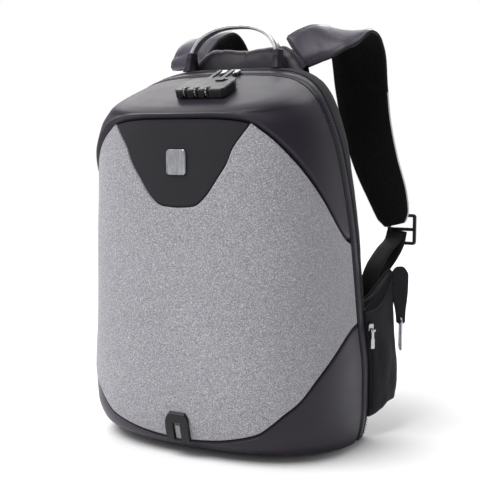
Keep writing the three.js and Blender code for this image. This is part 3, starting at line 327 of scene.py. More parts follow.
def scatter(name, centres, tangents, normals, size, form, material):
    """Copies of one small form, laid along a path: size is length, width and height."""
    shape, shape_faces = form
    t = unit(tangents)
    n = crosswise(normals, t)
    w = np.cross(n, t)
    vertices, faces = [], []
    for i in range(len(centres)):
        first = i * len(shape)
        for q in shape:
            vertices.append(
                centres[i] + t[i] * q[0] * size[0] + w[i] * q[1] * size[1] + n[i] * q[2] * size[2]
            )
        faces.extend(tuple(first + k for k in f) for f in shape_faces)
    return new_object(name, np.array(vertices), faces, material)


STITCH = (
    [(-0.5, 0, 0), (0.5, 0, 0)]
    + [(u, 0.5 * math.cos(a), 0.5 * math.sin(a)) for u in (-0.3, 0.3) for a in (0.5, 2.1, 3.7, 5.3)],
    [(0, 2 + k, 2 + (k + 1) % 4) for k in range(4)]
    + [(2 + k, 6 + k, 6 + (k + 1) % 4, 2 + (k + 1) % 4) for k in range(4)]
    + [(1, 6 + (k + 1) % 4, 6 + k) for k in range(4)],
)
STITCH_SIZE = (2.5, 0.75, 0.6)
TOOTH = (
    [(x, y, z) for z in (-0.5, 0.3) for y in (-0.5, 0.5) for x in (-0.5, 0.5)]
    + [(x, y, 0.5) for y in (-0.35, 0.35) for x in (-0.3, 0.3)],
    [(0, 2, 3, 1), (0, 1, 5, 4), (1, 3, 7, 5), (3, 2, 6, 7), (2, 0, 4, 6)]
    + [(4, 5, 9, 8), (5, 7, 11, 9), (7, 6, 10, 11), (6, 4, 8, 10), (8, 9, 11, 10)],
)


def along_path(path, pitch, closed=False):
    """Evenly spaced points on a line, with their tangents and their places along it."""
    path = np.asarray(path, float)
    if closed:
        path = np.concatenate([path, path[:1]])
    s = lengths(path)
    at = np.arange(pitch / 2, s[-1], pitch)
    tangent = between(at + pitch * 0.3, s, path) - between(at - pitch * 0.3, s, path)
    return between(at, s, path), tangent, at / s[-1]


def stitches(name, path, normal, material, pitch=3.6, closed=False):
    here, tangent, share = along_path(path, pitch, closed)
    normal = np.asarray(normal, float)
    if normal.ndim == 2:
        normal = between(share, np.linspace(0, 1, len(normal)), normal)
    else:
        normal = np.tile(normal, (len(here), 1))
    return scatter(name, here, tangent, normal, STITCH_SIZE, STITCH, material)


def catmull(points, t):
    """A centripetal Catmull-Rom curve through the points, at shares t of its point count."""
    p = np.asarray(points, float)
    ext = np.concatenate([[2 * p[0] - p[1]], p, [2 * p[-1] - p[-2]]])
    q = np.clip(np.asarray(t, float), 0, 1) * (len(p) - 1)
    out = []
    for v in q:
        i = min(int(v), len(p) - 2)
        w = v - i
        a, b, c, d = ext[i : i + 4]
        d0, d1, d2 = (max(np.linalg.norm(step) ** 0.5, 1e-4) for step in (b - a, c - b, d - c))
        m1 = ((b - a) / d0 - (c - a) / (d0 + d1) + (c - b) / d1) * d1
        m2 = ((c - b) / d1 - (d - b) / (d1 + d2) + (d - c) / d2) * d1
        h = (2 * w**3 - 3 * w**2 + 1, w**3 - 2 * w**2 + w, -2 * w**3 + 3 * w**2, w**3 - w**2)
        out.append(h[0] * b + h[1] * m1 + h[2] * c + h[3] * m2)
    return np.array(out)


def even(path, count):
    s = lengths(path)
    return between(np.linspace(0, s[-1], count), s, path)


def frames(path, wanted):
    """Width and thickness directions along a path."""
    tangent = unit(np.gradient(path, axis=0))
    wide = crosswise(np.broadcast_to(np.asarray(wanted, float), path.shape), tangent)
    return wide, np.cross(tangent, wide)


# --- materials


def srgb(hex_colour):
    out = []
    for shift in (16, 8, 0):
        c = ((hex_colour >> shift) & 255) / 255
        out.append(c / 12.92 if c <= 0.04045 else ((c + 0.055) / 1.055) ** 2.4)
    return (*out, 1.0)


class Nodes:
    def __init__(self, name, base, roughness, metallic=0.0, specular=0.5):
        self.material = bpy.data.materials.new(name)
        self.material.use_nodes = True
        self.tree = self.material.node_tree
        self.bsdf = self.tree.nodes["Principled BSDF"]
        self.set("Base Color", srgb(base))
        self.set("Roughness", roughness)
        self.set("Metallic", metallic)
        self.set("Specular IOR Level", specular)
        self.coordinates = self.add("ShaderNodeTexCoord")
        self.height = None
        self.material.diffuse_color = srgb(base)

    def set(self, socket, value):
        self.bsdf.inputs[socket].default_value = value
        return self

    def add(self, kind, **values):
        node = self.tree.nodes.new(kind)
        for key, value in values.items():
            setattr(node, key, value)
        return node

    def link(self, a, b):
        self.tree.links.new(a, b)

    def place(self, uv=False, scale=(1, 1, 1), turn=(0, 0, 0)):
        mapping = self.add("ShaderNodeMapping")
        mapping.inputs["Scale"].default_value = scale
        mapping.inputs["Rotation"].default_value = turn
        self.link(self.coordinates.outputs["UV" if uv else "Object"], mapping.inputs["Vector"])
        return mapping.outputs["Vector"]

    def texture(self, kind, scale, vector=None, **values):
        node = self.add("ShaderNodeTex" + kind, **values)
        node.inputs["Scale"].default_value = scale
        self.link(vector or self.place(), node.inputs["Vector"])
        return node

    def noise(self, scale, detail=2.0, roughness=0.5, vector=None):
        node = self.texture("Noise", scale, vector)
        node.inputs["Detail"].default_value = detail
        node.inputs["Roughness"].default_value = roughness
        return node.outputs["Fac"]

    def cells(self, scale):
        return self.texture("Voronoi", scale).outputs["Distance"]

    def wave(self, scale, vector, direction):
        return self.texture("Wave", scale, vector, bands_direction=direction).outputs["Fac"]

    def math(self, operation, a, b):
        node = self.add("ShaderNodeMath", operation=operation)
        for socket, value in zip(node.inputs, (a, b)):
            if isinstance(value, (int, float)):
                socket.default_value = value
            else:
                self.link(value, socket)
        return node.outputs[0]

    def ramp(self, value, stops):
        node = self.add("ShaderNodeValToRGB")
        elements = node.color_ramp.elements
        while len(elements) < len(stops):
            elements.new(0.5)
        for element, (at, colour) in zip(elements, stops):
            element.position = at
            element.color = srgb(colour) if isinstance(colour, int) else (colour,) * 3 + (1,)
        self.link(value, node.inputs["Fac"])
        return node.outputs["Color"]

    def colour(self, value, stops):
        self.link(self.ramp(value, stops), self.bsdf.inputs["Base Color"])
        return self

    def tint(self, fine, broad, stops, amount):
        """Colour from a fine pattern, shifted a little by a broad one."""
        mix = self.add("ShaderNodeMix", data_type="RGBA", blend_type="MULTIPLY")
        mix.inputs["Factor"].default_value = amount
        self.link(self.ramp(fine, stops), mix.inputs["A"])
        self.link(self.ramp(broad, [(0.3, 0.55), (0.7, 1.0)]), mix.inputs["B"])
        self.link(mix.outputs["Result"], self.bsdf.inputs["Base Color"])
        return self

    def rough(self, value, low, high):
        node = self.add("ShaderNodeMapRange")
        node.inputs["To Min"].default_value = low
        node.inputs["To Max"].default_value = high
        self.link(value, node.inputs["Value"])
        self.link(node.outputs["Result"], self.bsdf.inputs["Roughness"])
        return self

    def bump(self, value, distance, strength=1.0):
        node = self.add("ShaderNodeBump")
        node.inputs["Distance"].default_value = distance
        node.inputs["Strength"].default_value = strength
        self.link(value, node.inputs["Height"])
        if self.height is not None:
            self.link(self.height, node.inputs["Normal"])
        self.height = node.outputs["Normal"]
        self.link(self.height, self.bsdf.inputs["Normal"])
        return self

    def sheen(self, weight, roughness, tint):
        self.set("Sheen Weight", weight)
        self.set("Sheen Roughness", roughness)
        self.set("Sheen Tint", srgb(tint))
        return self


def coated(name, base, dark, light):
    m = Nodes(name, base, 0.42, specular=0.3)
    m.tint(m.noise(1500, 2, 0.6), m.noise(14, 3, 0.55), [(0.3, dark), (0.7, light)], 0.25)
    m.rough(m.noise(30, 3), 0.37, 0.5)
    m.sheen(0.2, 0.3, 0xC4AECB)
    m.bump(m.cells(1300), 0.00012, 0.35)
    m.bump(m.noise(38, 3, 0.5), 0.0006, 0.22)
    return m.material


def melange():
    m = Nodes("grey_melange", 0x9B9AA2, 0.85, specular=0.25)
    threads = m.place(scale=(1.0, 1.0, 0.55), turn=(0.3, 0.4, 0.9))
    crossed = m.place(scale=(0.5, 1.0, 1.0), turn=(-0.5, 0.2, -0.7))
    a = m.noise(1150, 3, 0.7, threads)
    b = m.noise(980, 3, 0.7, crossed)
    both = m.math("MULTIPLY", m.math("ADD", a, b), 0.5)
    stops = [(0.38, 0x66656A), (0.47, 0x8D8C91), (0.54, 0xA09FA4), (0.63, 0xD2D1D5)]
    m.tint(both, m.noise(9, 2), stops, 0.10)
    m.sheen(0.2, 0.5, 0xE6E2EA)
    m.bump(both, 0.0003, 0.5)
    return m.material


def woven(name, base, dark, light, scale=900, rough=0.8, depth=0.0003):
    m = Nodes(name, base, rough, specular=0.3)
    flat = m.place()
    warp = m.wave(scale / 6.3, flat, "Z")
    weft = m.wave(scale / 6.3, flat, "X")
    weave = m.math("MULTIPLY", m.math("ADD", warp, weft), 0.5)
    worn = m.noise(22, 3)
    mottled = m.math("ADD", m.math("MULTIPLY", weave, 0.6), m.math("MULTIPLY", m.noise(600, 2), 0.4))
    m.tint(mottled, worn, [(0.3, dark), (0.7, light)], 0.3)
    m.sheen(0.15, 0.5, 0xA8A8B0)
    m.bump(weave, depth, 0.4)
    m.bump(m.noise(45, 3), 0.0007, 0.3)
    return m.material


def spacer_mesh():
    m = Nodes("black_mesh", 0x070709, 0.9, specular=0.15)
    holes = m.cells(520)
    m.colour(holes, [(0.15, 0x010102), (0.45, 0x08080A), (0.8, 0x101013)])
    m.sheen(0.08, 0.5, 0x303038)
    m.bump(holes, 0.0004, 0.6)
    m.bump(m.noise(30, 3), 0.0008, 0.3)
    return m.material


def webbing():
    m = Nodes("black_webbing", 0x0B0B0D, 0.7, specular=0.3)
    uv = m.place(uv=True)
    ribs = m.wave(160, uv, "X")
    chevron = m.wave(90, uv, "DIAGONAL")
    both = m.math("ADD", m.math("MULTIPLY", ribs, 0.6), m.math("MULTIPLY", chevron, 0.4))
    m.colour(both, [(0.2, 0x050506), (0.8, 0x151519)])
    m.sheen(0.1, 0.4, 0x6A6A72)
    m.bump(both, 0.0004, 0.7)
    return m.material


def plastic(name, base, light, rough=0.38, grainy=2200, specular=0.5):
    m = Nodes(name, base, rough, specular=specular)
    m.tint(m.noise(grainy, 2), m.noise(60, 3), [(0.35, base), (0.7, light)], 0.2)
    m.rough(m.noise(120, 4), rough - 0.07, rough + 0.1)
    m.bump(m.cells(grainy * 0.7), 0.00006, 0.4)
    return m.material


def metal(name, base, dark, rough=0.24, brushed=(1, 1, 1), bump=0.00002):
    m = Nodes(name, base, rough, 1.0)
    lines = m.noise(1400, 3, 0.6, m.place(scale=brushed))
    m.tint(lines, m.noise(45, 3), [(0.3, dark), (0.65, base)], 0.15)
    m.rough(lines, rough - 0.06, rough + 0.12)
    m.bump(lines, bump, 0.5)
    return m.material


def thread(name, base, light):
    m = Nodes(name, base, 0.7, specular=0.3)
    m.colour(m.noise(1800, 2), [(0.35, base), (0.7, light)])
    m.sheen(0.3, 0.4, 0xBBBBC2)
    m.bump(m.wave(900, m.place(turn=(0, 0.6, 0.6)), "DIAGONAL"), 0.0001, 0.5)
    return m.material


COATED = coated("coated_fabric", 0x211B27, 0x1B1620, 0x28222F)
# The straps' outer fabric is the body's coated fabric made lighter: painted light, standing in for the light
# that falls on the straps' tops
STRAP_OUTER_PAINTED_LIGHT = coated("strap_fabric", 0x3A3442, 0x322D39, 0x443D4C)
MELANGE = melange()
INSET = woven("inset_fabric", 0x1C1C21, 0x17171C, 0x222227, 1500, 0.72, 0.00015)
BLACK_CLOTH = woven("black_fabric", 0x131217, 0x0B0B0E, 0x1B1A20, 2400, 0.8, 0.0001)
BLACK_MESH = spacer_mesh()
PIPING = woven("black_piping", 0x0C0C0E, 0x070708, 0x141417, 1800, 0.6, 0.0001)
ZIP_TAPE = woven("black_zip", 0x08080A, 0x050506, 0x0F0F12, 1700, 0.85)
ZIP_TEETH = plastic("zip_teeth", 0x0A0A0C, 0x151518, 0.4, 2200, 0.3)
WEBBING = webbing()
BLACK_PLASTIC = plastic("black_plastic", 0x0D0D0F, 0x19191C, 0.42, 2200, 0.35)
LOCK_PLASTIC = plastic("lock_plastic", 0x0C0C0E, 0x18181B, 0.36, 2600, 0.35)
LIGHT_BINDING = woven("light_binding", 0xC8C7CE, 0xAFAEB6, 0xDFDEE4, 1500, 0.7, 0.0001)
GREY_STRIP = woven("grey_strip", 0x8C8C92, 0x7B7B82, 0x9D9DA4, 1600, 0.6, 0.0001)
BADGE_METAL = metal("badge_metal", 0xC6C7CC, 0x8F9096, 0.3, (1, 1, 0.08))
BRIGHT_METAL = metal("bright_metal", 0xC9CACF, 0x8E8F96, 0.22)
DARK_METAL = metal("dark_metal", 0x4A4A50, 0x1E1E22, 0.2)
HANDLE_METAL = metal("handle_metal", 0xE2E3E6, 0xB9BABF, 0.3, (0.04, 1, 1), 0.00001)
DARK_THREAD = thread("dark_thread", 0x3C3A44, 0x5A5763)
BLACK_THREAD = thread("black_thread", 0x18181C, 0x303036)
DIGIT_PAINT = plastic("digit_paint", 0xD8D8DC, 0xEDEDF0, 0.5)

# --- front shell and hood

SHELL_COLUMNS = 221
EDGE_ROLL = 2.2
HOOD_ROLL = 3.2
sides = np.linspace(-1, 1, SHELL_COLUMNS)


def shell_grid():
    bottom, top = panel_bottom(sides), panel_top(sides)
    slant = EDGE_SLANT / BODY_HEIGHT
    edge = np.abs(sides)
    rise = HOOD_RISE * (1 - edge**3)
    drop = CORNER_DROP * np.minimum(1, 2 - 2 * edge)
    rows = []

    def row(up, level, reach=1.0):
        rows.append(front_point(up, sides, level, reach))

    for reach in (0.0, 0.25, 0.5, 0.75, 0.92):
        row(0.0, 0.0, reach)
    for share in np.linspace(0, 1, 26)[:-1] ** 1.5:
        row((bottom - slant) * share, drop * min(share * 4, 1))
    nose = EDGE_ROLL / BODY_HEIGHT
    for turn in np.linspace(0, np.pi / 2, 6):
        level = drop + (PANEL_SEAT - drop) * (1 - np.cos(turn))
        row(bottom - slant - nose + nose * np.sin(turn), level)
    for share in np.linspace(0, 1, 9):
        row(bottom + (top - bottom) * share, PANEL_SEAT)
    roll = (slant + HOOD_ROLL / BODY_HEIGHT) * 0.9
    for turn in np.linspace(0, np.pi / 2, 8)[1:]:
        level = PANEL_SEAT - (PANEL_SEAT + rise) * np.sin(turn)
        row(top + roll * (1 - np.cos(turn)), level)
    start = top + roll
    for share in 1 - (1 - np.linspace(0, 1, 74)[1:]) ** 1.35:
        row(start + (1 - start) * share, -rise * (1 - share) ** 2)
    return np.array(rows)


shell = skin("front_skin", shell_grid(), COATED)
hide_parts("front_shell")


def recess(name, columns, low, high, face, material, rows, edge, depth):
    """A pad that fills the recess between two edges, with rolled borders."""
    roll = edge / BODY_HEIGHT
    grid = []
    span = np.maximum(high - low, 1e-5)
    border = np.linspace(0, 1, 7)
    r = np.minimum(roll, span / 2)
    for s in np.concatenate([border[:-1], 1 + np.linspace(0, 1, rows), 2 + border[1:]]):
        if s < 1:
            turn = s * np.pi / 2
            up = low + r * (1 - np.cos(turn))
            level = face + depth * (1 - np.sin(turn))
        elif s <= 2:
            up = low + r + (span - 2 * r) * (s - 1)
            level = face
        else:
            turn = (s - 2) * np.pi / 2
            up = high - r + r * np.sin(turn)
            level = face + depth * (1 - np.cos(turn))
        grid.append(front_point(up, columns, level))
    return skin(name, np.array(grid), material)


# Rows of points, width and depth of the rolled border
PANEL_BORDER = (90, 3.4, 2.6)
INSET_BORDER = (60, 2.2, 2.0)
gap_up = GAP / BODY_HEIGHT
groove_up = GROOVE_WIDTH / BODY_HEIGHT
near_v = np.linspace(0.34, 0.37, 9)
panel_sides = np.unique(np.concatenate([sides, [-V_SIDE, V_SIDE], -near_v[::-1], near_v]))
groove = groove_up * smoothstep(V_SIDE - 0.004, V_SIDE + 0.03, np.abs(panel_sides))
panel_low = panel_bottom(panel_sides) + gap_up
below_v = v_up(panel_sides) - 2 * gap_up
below_hood = panel_top(panel_sides) - groove - 2 * gap_up
panel_high = np.where(np.abs(panel_sides) < V_SIDE, below_v, below_hood)
panel = recess("front_panel_skin", panel_sides, panel_low, panel_high, 0.0, MELANGE, *PANEL_BORDER)
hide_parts("front_panel")

v_sides = np.linspace(-V_SIDE + 0.002, V_SIDE - 0.002, 121)
v_low = v_up(v_sides) + 2 * gap_up
v_high = np.maximum(panel_top(v_sides) - groove_up, v_low + gap_up)
v_inset = recess("v_inset_skin", v_sides, v_low, v_high, INSET_DROP, INSET, *INSET_BORDER)
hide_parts("v_inset")

# --- rings round the outline

RING = 420
ring_up, ring_reach = outline(RING)


def ring_line(y, inset):
    return rim_point(ring_up, ring_reach, y, inset)


def ring_grid(profile):
    """profile gives y and inset for each point of a section."""
    return np.stack([ring_line(*step) for step in profile], 1)


def ring_out(y):
    """Outward directions round the outline, at one place across it."""
    line = ring_line(y, 0)
    tangent = np.roll(line, -1, 0) - np.roll(line, 1, 0)
    n = unit(np.cross(tangent, np.array([0.0, 1.0, 0.0])))
    return n if (n * (line - line.mean(0))).sum() > 0 else -n


seam = seam_y(ring_up)
zip_start = seam + GAP
gusset_start = zip_start + ZIP_WIDTH + GAP
piping_y = seam + GUSSET_WIDTH
gusset_end = piping_y - PIPING_RADIUS - GAP

shares = np.linspace(0, 1, 7)
profile = [(zip_start + ZIP_WIDTH * v, ZIP_SUNK + 1.0 - 0.5 * np.sin(np.pi * v)) for v in shares]
zip_tape = skin("main_zip_tape", ring_grid(profile), ZIP_TAPE, (True, False))
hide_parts("main_zip")
TOOTH_SIZE = (1.3, 2.6, 1.4)
TOOTH_PITCH = 2.3
TOOTH_SHIFT = 0.55
tooth_line = ring_line(zip_start + ZIP_WIDTH / 2, 0.9)
centres, tangents, share = along_path(tooth_line, TOOTH_PITCH, True)
out = ring_out(seam)
normals = between(share, np.linspace(0, 1, RING + 1), np.concatenate([out, out[:1]]))
centres[:, 1] += np.where(np.arange(len(centres)) % 2, TOOTH_SHIFT, -TOOTH_SHIFT)
teeth = scatter("main_zip_teeth", centres, tangents, normals, TOOTH_SIZE, TOOTH, ZIP_TEETH)

GUSSET_TUCK = 1.6
GUSSET_SWELL = 0.5
rows = []
for v in np.linspace(0, 1, 13):
    crown = GUSSET_TUCK * (abs(2 * v - 1) ** 6) - GUSSET_SWELL * (1 - (2 * v - 1) ** 2)
    rows.append((gusset_start + (gusset_end - gusset_start) * v, crown))
gusset_points = ring_grid(rows)
ripple = ring_out(seam)[:, None] * 0.5 * grain(gusset_points, 0.03, 7.0)[..., None]
gusset_points[:, 1:-1] += ripple[:, 1:-1]
gusset = skin("gusset_skin", gusset_points, COATED, (True, False))
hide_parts("gusset")
for label, share_across in (("front", 0.16), ("rear", 0.84)):
    line = ring_line(gusset_start + (gusset_end - gusset_start) * share_across, -0.1)
    sewn = stitches("gusset_stitches_" + label, line, ring_out(seam), DARK_THREAD, closed=True)

profile = [(piping_y + PIPING_RADIUS * math.cos(t), PIPING_RADIUS * (1 + math.sin(t))) for t in full_turn(12)]
piping = skin("piping_cord", ring_grid(profile), PIPING, (True, True))
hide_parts("piping")

# Black cloth close behind the seams, so that no light shows through their gaps
backing_rows = [
    (seam - 7, 4.6), (seam, 3.6), (gusset_start, 3.6), (gusset_start + 1.5, 2.5), (gusset_end, 2.5),
    (piping_y, 4.3), (piping_y + PIPING_RADIUS, 2.5), (piping_y + 6, 2.8), (piping_y + 14, 5.8),
]
backing = skin("seam_backing", ring_grid(backing_rows), BLACK_CLOTH, (True, False))

REAR_ROWS = 20
rear_points = ring_grid([rear_corner(ring_up, share) for share in np.linspace(0, 1, REAR_ROWS)])
wrinkle = grain(rear_points, 0.022, 3.0) * 1.1 + grain(rear_points, 0.06, 9.0) * 0.5
fade = np.sin(np.pi * np.linspace(0.03, 0.97, REAR_ROWS)) ** 0.5
off_floor = (ring_up > 0.02)[:, None]
rear_points += ring_out(seam)[:, None] * (wrinkle * fade[None] * off_floor)[..., None]
rear = skin("rear_skin", rear_points, BLACK_CLOTH, (True, False))
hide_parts("rear_shell")
sewn = stitches("rear_stitches", ring_line(piping_y + 6, 0.1), ring_out(seam), BLACK_THREAD, closed=True)

# --- back pad

SEAT = BACK_CORNER + 2 * GAP
PAD_RISE = 1.4
CHANNEL_DEPTH = 2.2
CHANNEL_LEVELS = (120, 330)
PAD_CROWN = 1.2
# Places behind the rear depth and insets past the seat, over the pad's rounded border
PAD_BORDER = [(-BACK_PAD, 0), (-4, 0), (-1.6, 0.4), (-0.2, 1.8), (0.7, 4.5), (1.3, 9), (1.8, 16)]
back_profile = [(REAR_DEPTH + y, SEAT + inset, 1.0) for y, inset in PAD_BORDER]
y, inset = back_profile[-1][:2]
for fill in np.linspace(0.96, 0.0, 34):
    back_profile.append((y + PAD_CROWN * (1 - fill) ** 0.7, inset, fill))
middle = BODY_HEIGHT / 2
grid = []
for y, inset, fill in back_profile:
    p = ring_line(y, inset)
    p[:, 0] *= fill
    p[:, 2] = middle + (p[:, 2] - middle) * fill
    grid.append(p)
grid = np.array(grid)
x, z = grid[..., 0], grid[..., 2]
inner = smoothstep(0.0, 1.0, (np.arange(len(back_profile))[:, None] - 5) / 6.0)
channel = np.exp(-((x / 7.0) ** 4))
for level in CHANNEL_LEVELS:
    channel = np.maximum(channel, np.exp(-(((z - level) / 6.0) ** 4)))
quilted = PAD_RISE * (1 - channel) - CHANNEL_DEPTH * channel
grid[..., 1] += inner * (quilted + 0.25 * grain(grid, 0.05, 5.0))
back_pad = skin("back_pad", grid, BLACK_MESH, (False, True))
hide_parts("back_panel")

# --- collar

COLLAR_HALF_WIDTH = 80
COLLAR_HEIGHT = 27
COLLAR_FRONT_Y = 16
COLLAR_BACK_Y = 40
COLLAR_SEAMS = (-38, 0, 38)
COLLAR = np.array([
    [-1.0, 0.12], [-0.86, 0.6], [-0.72, 0.94], [-0.6, 1.06], [-0.4, 1.02], [0.0, 0.96],
    [0.4, 1.02], [0.6, 1.06], [0.72, 0.94], [0.86, 0.6], [1.0, 0.12],
])


def rear_top(x, y):
    """Height of the rear shell's top over points, by a search down its outline."""
    up = 1 - 0.2 * np.linspace(0, 1, 900)
    start = rear_start(up)
    turn = np.arcsin(np.clip((y - start) / (REAR_DEPTH - start), 0, 0.987))
    inset = BACK_CORNER * (1 - np.cos(turn)) / (1 - math.cos(REAR_TURN))
    edge = rim_point(up, 1.0, y, inset)
    found = np.argmax(edge[:, 0] >= abs(x))
    return edge[found, 2]


steps, around = 81, 41
grid = np.zeros((steps, around, 3))
for i, out_share in enumerate(np.linspace(-1, 1, steps)):
    x = out_share * COLLAR_HALF_WIDTH
    high = read(COLLAR, 1, out_share)
    ys = np.linspace(COLLAR_FRONT_Y - 1, COLLAR_BACK_Y, 9)
    floor = np.array([rear_top(x, y) for y in ys])
    top = max(BODY_HEIGHT - 2 + high * COLLAR_HEIGHT, floor[0] + 2)
    for j, turn in enumerate(np.linspace(0, np.pi, around)):
        c, s = math.cos(turn), math.sin(turn)
        lift = s**0.62
        y = 28 - 12.5 * squared(c, 0.7) + 6.0 * lift * (1 if c > 0 else 0.2)
        base = np.interp(np.clip(y, ys[0], ys[-1]), ys, floor)
        grid[i, j] = (x, y, base + 0.3 + (top - base) * lift)
fold = 0.9 * grain(grid, 0.035, 21.0) + 0.5 * grain(grid, 0.09, 4.0)
arch = np.sin(np.linspace(0, np.pi, around)) ** 0.5
grid[..., 2] += fold * arch[None] * 1.2
grid[..., 1] -= fold * arch[None] * 0.8
for at in COLLAR_SEAMS:
    grid[..., 2] -= 1.1 * np.exp(-(((grid[..., 0] - at) / 1.6) ** 2)) * arch[None]
collar = skin("collar_pad", grid, COATED)
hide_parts("collar")

# --- handle

HANDLE_HALF_SPAN = 60
HANDLE_TOP = 505
HANDLE_FOOT_Z = 464
HANDLE_X = -8
HANDLE_Y = 7.5
HANDLE_LEAN = 8
BAR_WIDTH = 13
BAR_THICKNESS = 6
SOCKET_WIDTH = 17
SOCKET_DEPTH = 12
SOCKET_COVER = 8


def handle_point(share, height):
    top = HANDLE_TOP - BAR_THICKNESS / 2
    return (
        HANDLE_X + HANDLE_HALF_SPAN * share,
        HANDLE_Y + HANDLE_LEAN * height,
        HANDLE_FOOT_Z + (top - HANDLE_FOOT_Z) * height,
    )


ARCH = [(-1, 0), (-0.95, 0.3), (-0.76, 0.68), (-0.42, 0.93), (0, 1)]
stations = ARCH + [(-share, height) for share, height in ARCH[-2::-1]]
bar_path = even(catmull([handle_point(*s) for s in stations], np.linspace(0, 1, 500)), 110)
wide, thick = frames(bar_path, (0, -1, 0))
turn = full_turn(32)
u = squared(np.cos(turn), 0.62) * BAR_WIDTH / 2
v = squared(np.sin(turn), 0.75) * BAR_THICKNESS / 2
grid = swept(bar_path, u, v, wide, thick)
bar = skin("handle_bar_smooth", grid, HANDLE_METAL, (False, True), caps=True)
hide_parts("handle_bar")

HANDS = (("right", 1), ("left", -1))
turn = full_turn(48)
for name, hand in HANDS:
    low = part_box("handle_socket_" + name)[0].z / MM
    high = HANDLE_FOOT_Z + SOCKET_COVER
    grid = []
    for share in np.linspace(0, 1, 30):
        z = low + (high - low) * share
        height = max((z - HANDLE_FOOT_Z) / (HANDLE_TOP - HANDLE_FOOT_Z), 0)
        grow = 2.6 * (1 - share) ** 2 - 1.0 * share - 1.5 * smoothstep(0.93, 1.0, share)
        fold = (1 - share) * (0.9 * np.sin(3 * turn + 4 * share + hand) + 0.5 * np.sin(7 * turn - 3 * share))
        u = squared(np.cos(turn), 0.7) * (SOCKET_WIDTH / 2 + grow + fold)
        v = squared(np.sin(turn), 0.7) * (SOCKET_DEPTH / 2 + grow + fold)
        x = HANDLE_X + hand * (HANDLE_HALF_SPAN + 1.5 * (1 - share))
        y = HANDLE_Y + HANDLE_LEAN * height
        grid.append(np.stack([x + v, y - u, np.full(len(turn), z)], -1))
    socket = skin("handle_sleeve_" + name, np.array(grid), COATED, (False, True), caps=True)
    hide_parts("handle_socket_" + name)
    hem = np.array(grid[-3])
    sewn = stitches("handle_sleeve_stitches_" + name, hem, hem - hem.mean(0), DARK_THREAD, 3.0, closed=True)

# --- straps

STRAP_WIDTH = 72
STRAP_THICKNESS = 13
STRAP_JOIN = 0.52
BINDING_RADIUS = 1.6
# Shares of half width, of rear depth and of height, share of the strap's width, roll in degrees
STRAPS = {
    "right": [
        [0.35, 0.972, 1.043, 0.68, 40], [0.45, 1.24, 1.066, 0.8, 28], [0.57, 1.6, 1.086, 0.94, 14],
        [0.66, 2.05, 1.094, 1.0, 6], [0.68, 2.38, 1.052, 1.0, 2], [0.69, 2.6, 0.955, 0.97, 0],
        [0.72, 2.74, 0.85, 0.92, 0], [0.795, 2.83, 0.74, 0.83, 0], [0.89, 2.84, 0.65, 0.72, 0],
        [0.945, 2.812, 0.59, 0.58, 0], [0.965, 2.8, 0.562, 0.36, 0],
    ],
    "left": [
        [0.62, 1.06, 1.0135, 0.87, 33], [0.6, 1.24, 1.048, 1.0, 26], [0.575, 1.6, 1.088, 1.0, 12],
        [0.52, 2.05, 1.1, 1.0, 4], [0.48, 2.38, 1.06, 1.0, 0], [0.47, 2.6, 0.97, 0.97, 0],
        [0.52, 2.74, 0.86, 0.92, 0], [0.64, 2.83, 0.75, 0.83, 0], [0.78, 2.84, 0.655, 0.72, 0],
        [0.87, 2.812, 0.59, 0.58, 0], [0.9, 2.8, 0.562, 0.36, 0],
    ],
}


def route(rows, hand, shift=0.0):
    across_share, back_share, up_share = np.array(rows)[:, :3].T
    x = hand * across_share * BODY_HALF_WIDTH + shift
    return np.stack([x, back_share * REAR_DEPTH, up_share * BODY_HEIGHT], -1)


for name, hand in HANDS:
    rows = np.array(STRAPS[name])
    count = 170
    t = np.linspace(0, 1, count)
    path = catmull(route(rows, hand), t)
    at = np.linspace(0, 1, len(rows))
    half = smooth(at, rows[:, 3], t) * STRAP_WIDTH / 2
    roll = np.radians(smooth(at, rows[:, 4], t))
    wanted = np.stack([hand * np.cos(roll), np.zeros(count), -np.sin(roll)], -1)
    wide, thick = frames(path, wanted)
    outer = -hand * thick
    turn = full_turn(44)
    cu = squared(np.cos(turn), 0.5)
    sv = squared(np.sin(turn), 0.8)
    end = np.minimum(1, np.minimum(t, 1 - t) / 0.02) ** 0.5
    thickness = STRAP_THICKNESS / 2 * (0.6 + 0.4 * end)
    grid = path[:, None] + (cu[None] * half[:, None])[..., None] * wide[:, None]
    pull = 0.9 * np.exp(-(((np.abs(cu) - 0.86) / 0.07) ** 2))
    bulge = sv[None] * (thickness[:, None] - pull[None] * np.ones((count, 1)))
    grid = grid + bulge[..., None] * outer[:, None]
    crease = 1.2 * grain(grid, 0.03, 11.0 + hand) + 0.5 * grain(grid, 0.1, 2.0)
    grid = grid + (crease * sv[None] * 0.8)[..., None] * outer[:, None]
    # The straps' outer faces take the lighter copy of the coated fabric, which is painted light
    strap = skin("strap_" + name + "_pad", grid, [STRAP_OUTER_PAINTED_LIGHT, BLACK_MESH, MELANGE], (False, True), caps=True)
    for polygon in strap.data.polygons:
        c = np.array(polygon.center) / MM
        i = int(np.argmin(((path - c) ** 2).sum(1)))
        if (c - path[i]) @ outer[i] < -0.4:
            polygon.material_index = 1
        elif i > count * STRAP_JOIN:
            polygon.material_index = 2
    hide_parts("strap_" + name)
    cut = int(count * STRAP_JOIN)
    for edge_name, sign in (("outer", 1), ("inner", -1)):
        line = path + wide * (sign * (half - 0.4))[:, None] + outer * 1.0
        parts = (("upper", PIPING, line[2 : cut + 1]), ("lower", LIGHT_BINDING, line[cut:-2]))
        for part, finish, run in parts:
            edge = tube("strap_" + name + "_binding_" + edge_name + "_" + part, run, BINDING_RADIUS, finish)
        line = path + wide * (sign * half * 0.84)[:, None] + outer * (thickness - 0.6)[:, None]
        sewn = stitches("strap_" + name + "_stitches_" + edge_name, line[4:-4], outer[4:-4], DARK_THREAD)

# --- webs

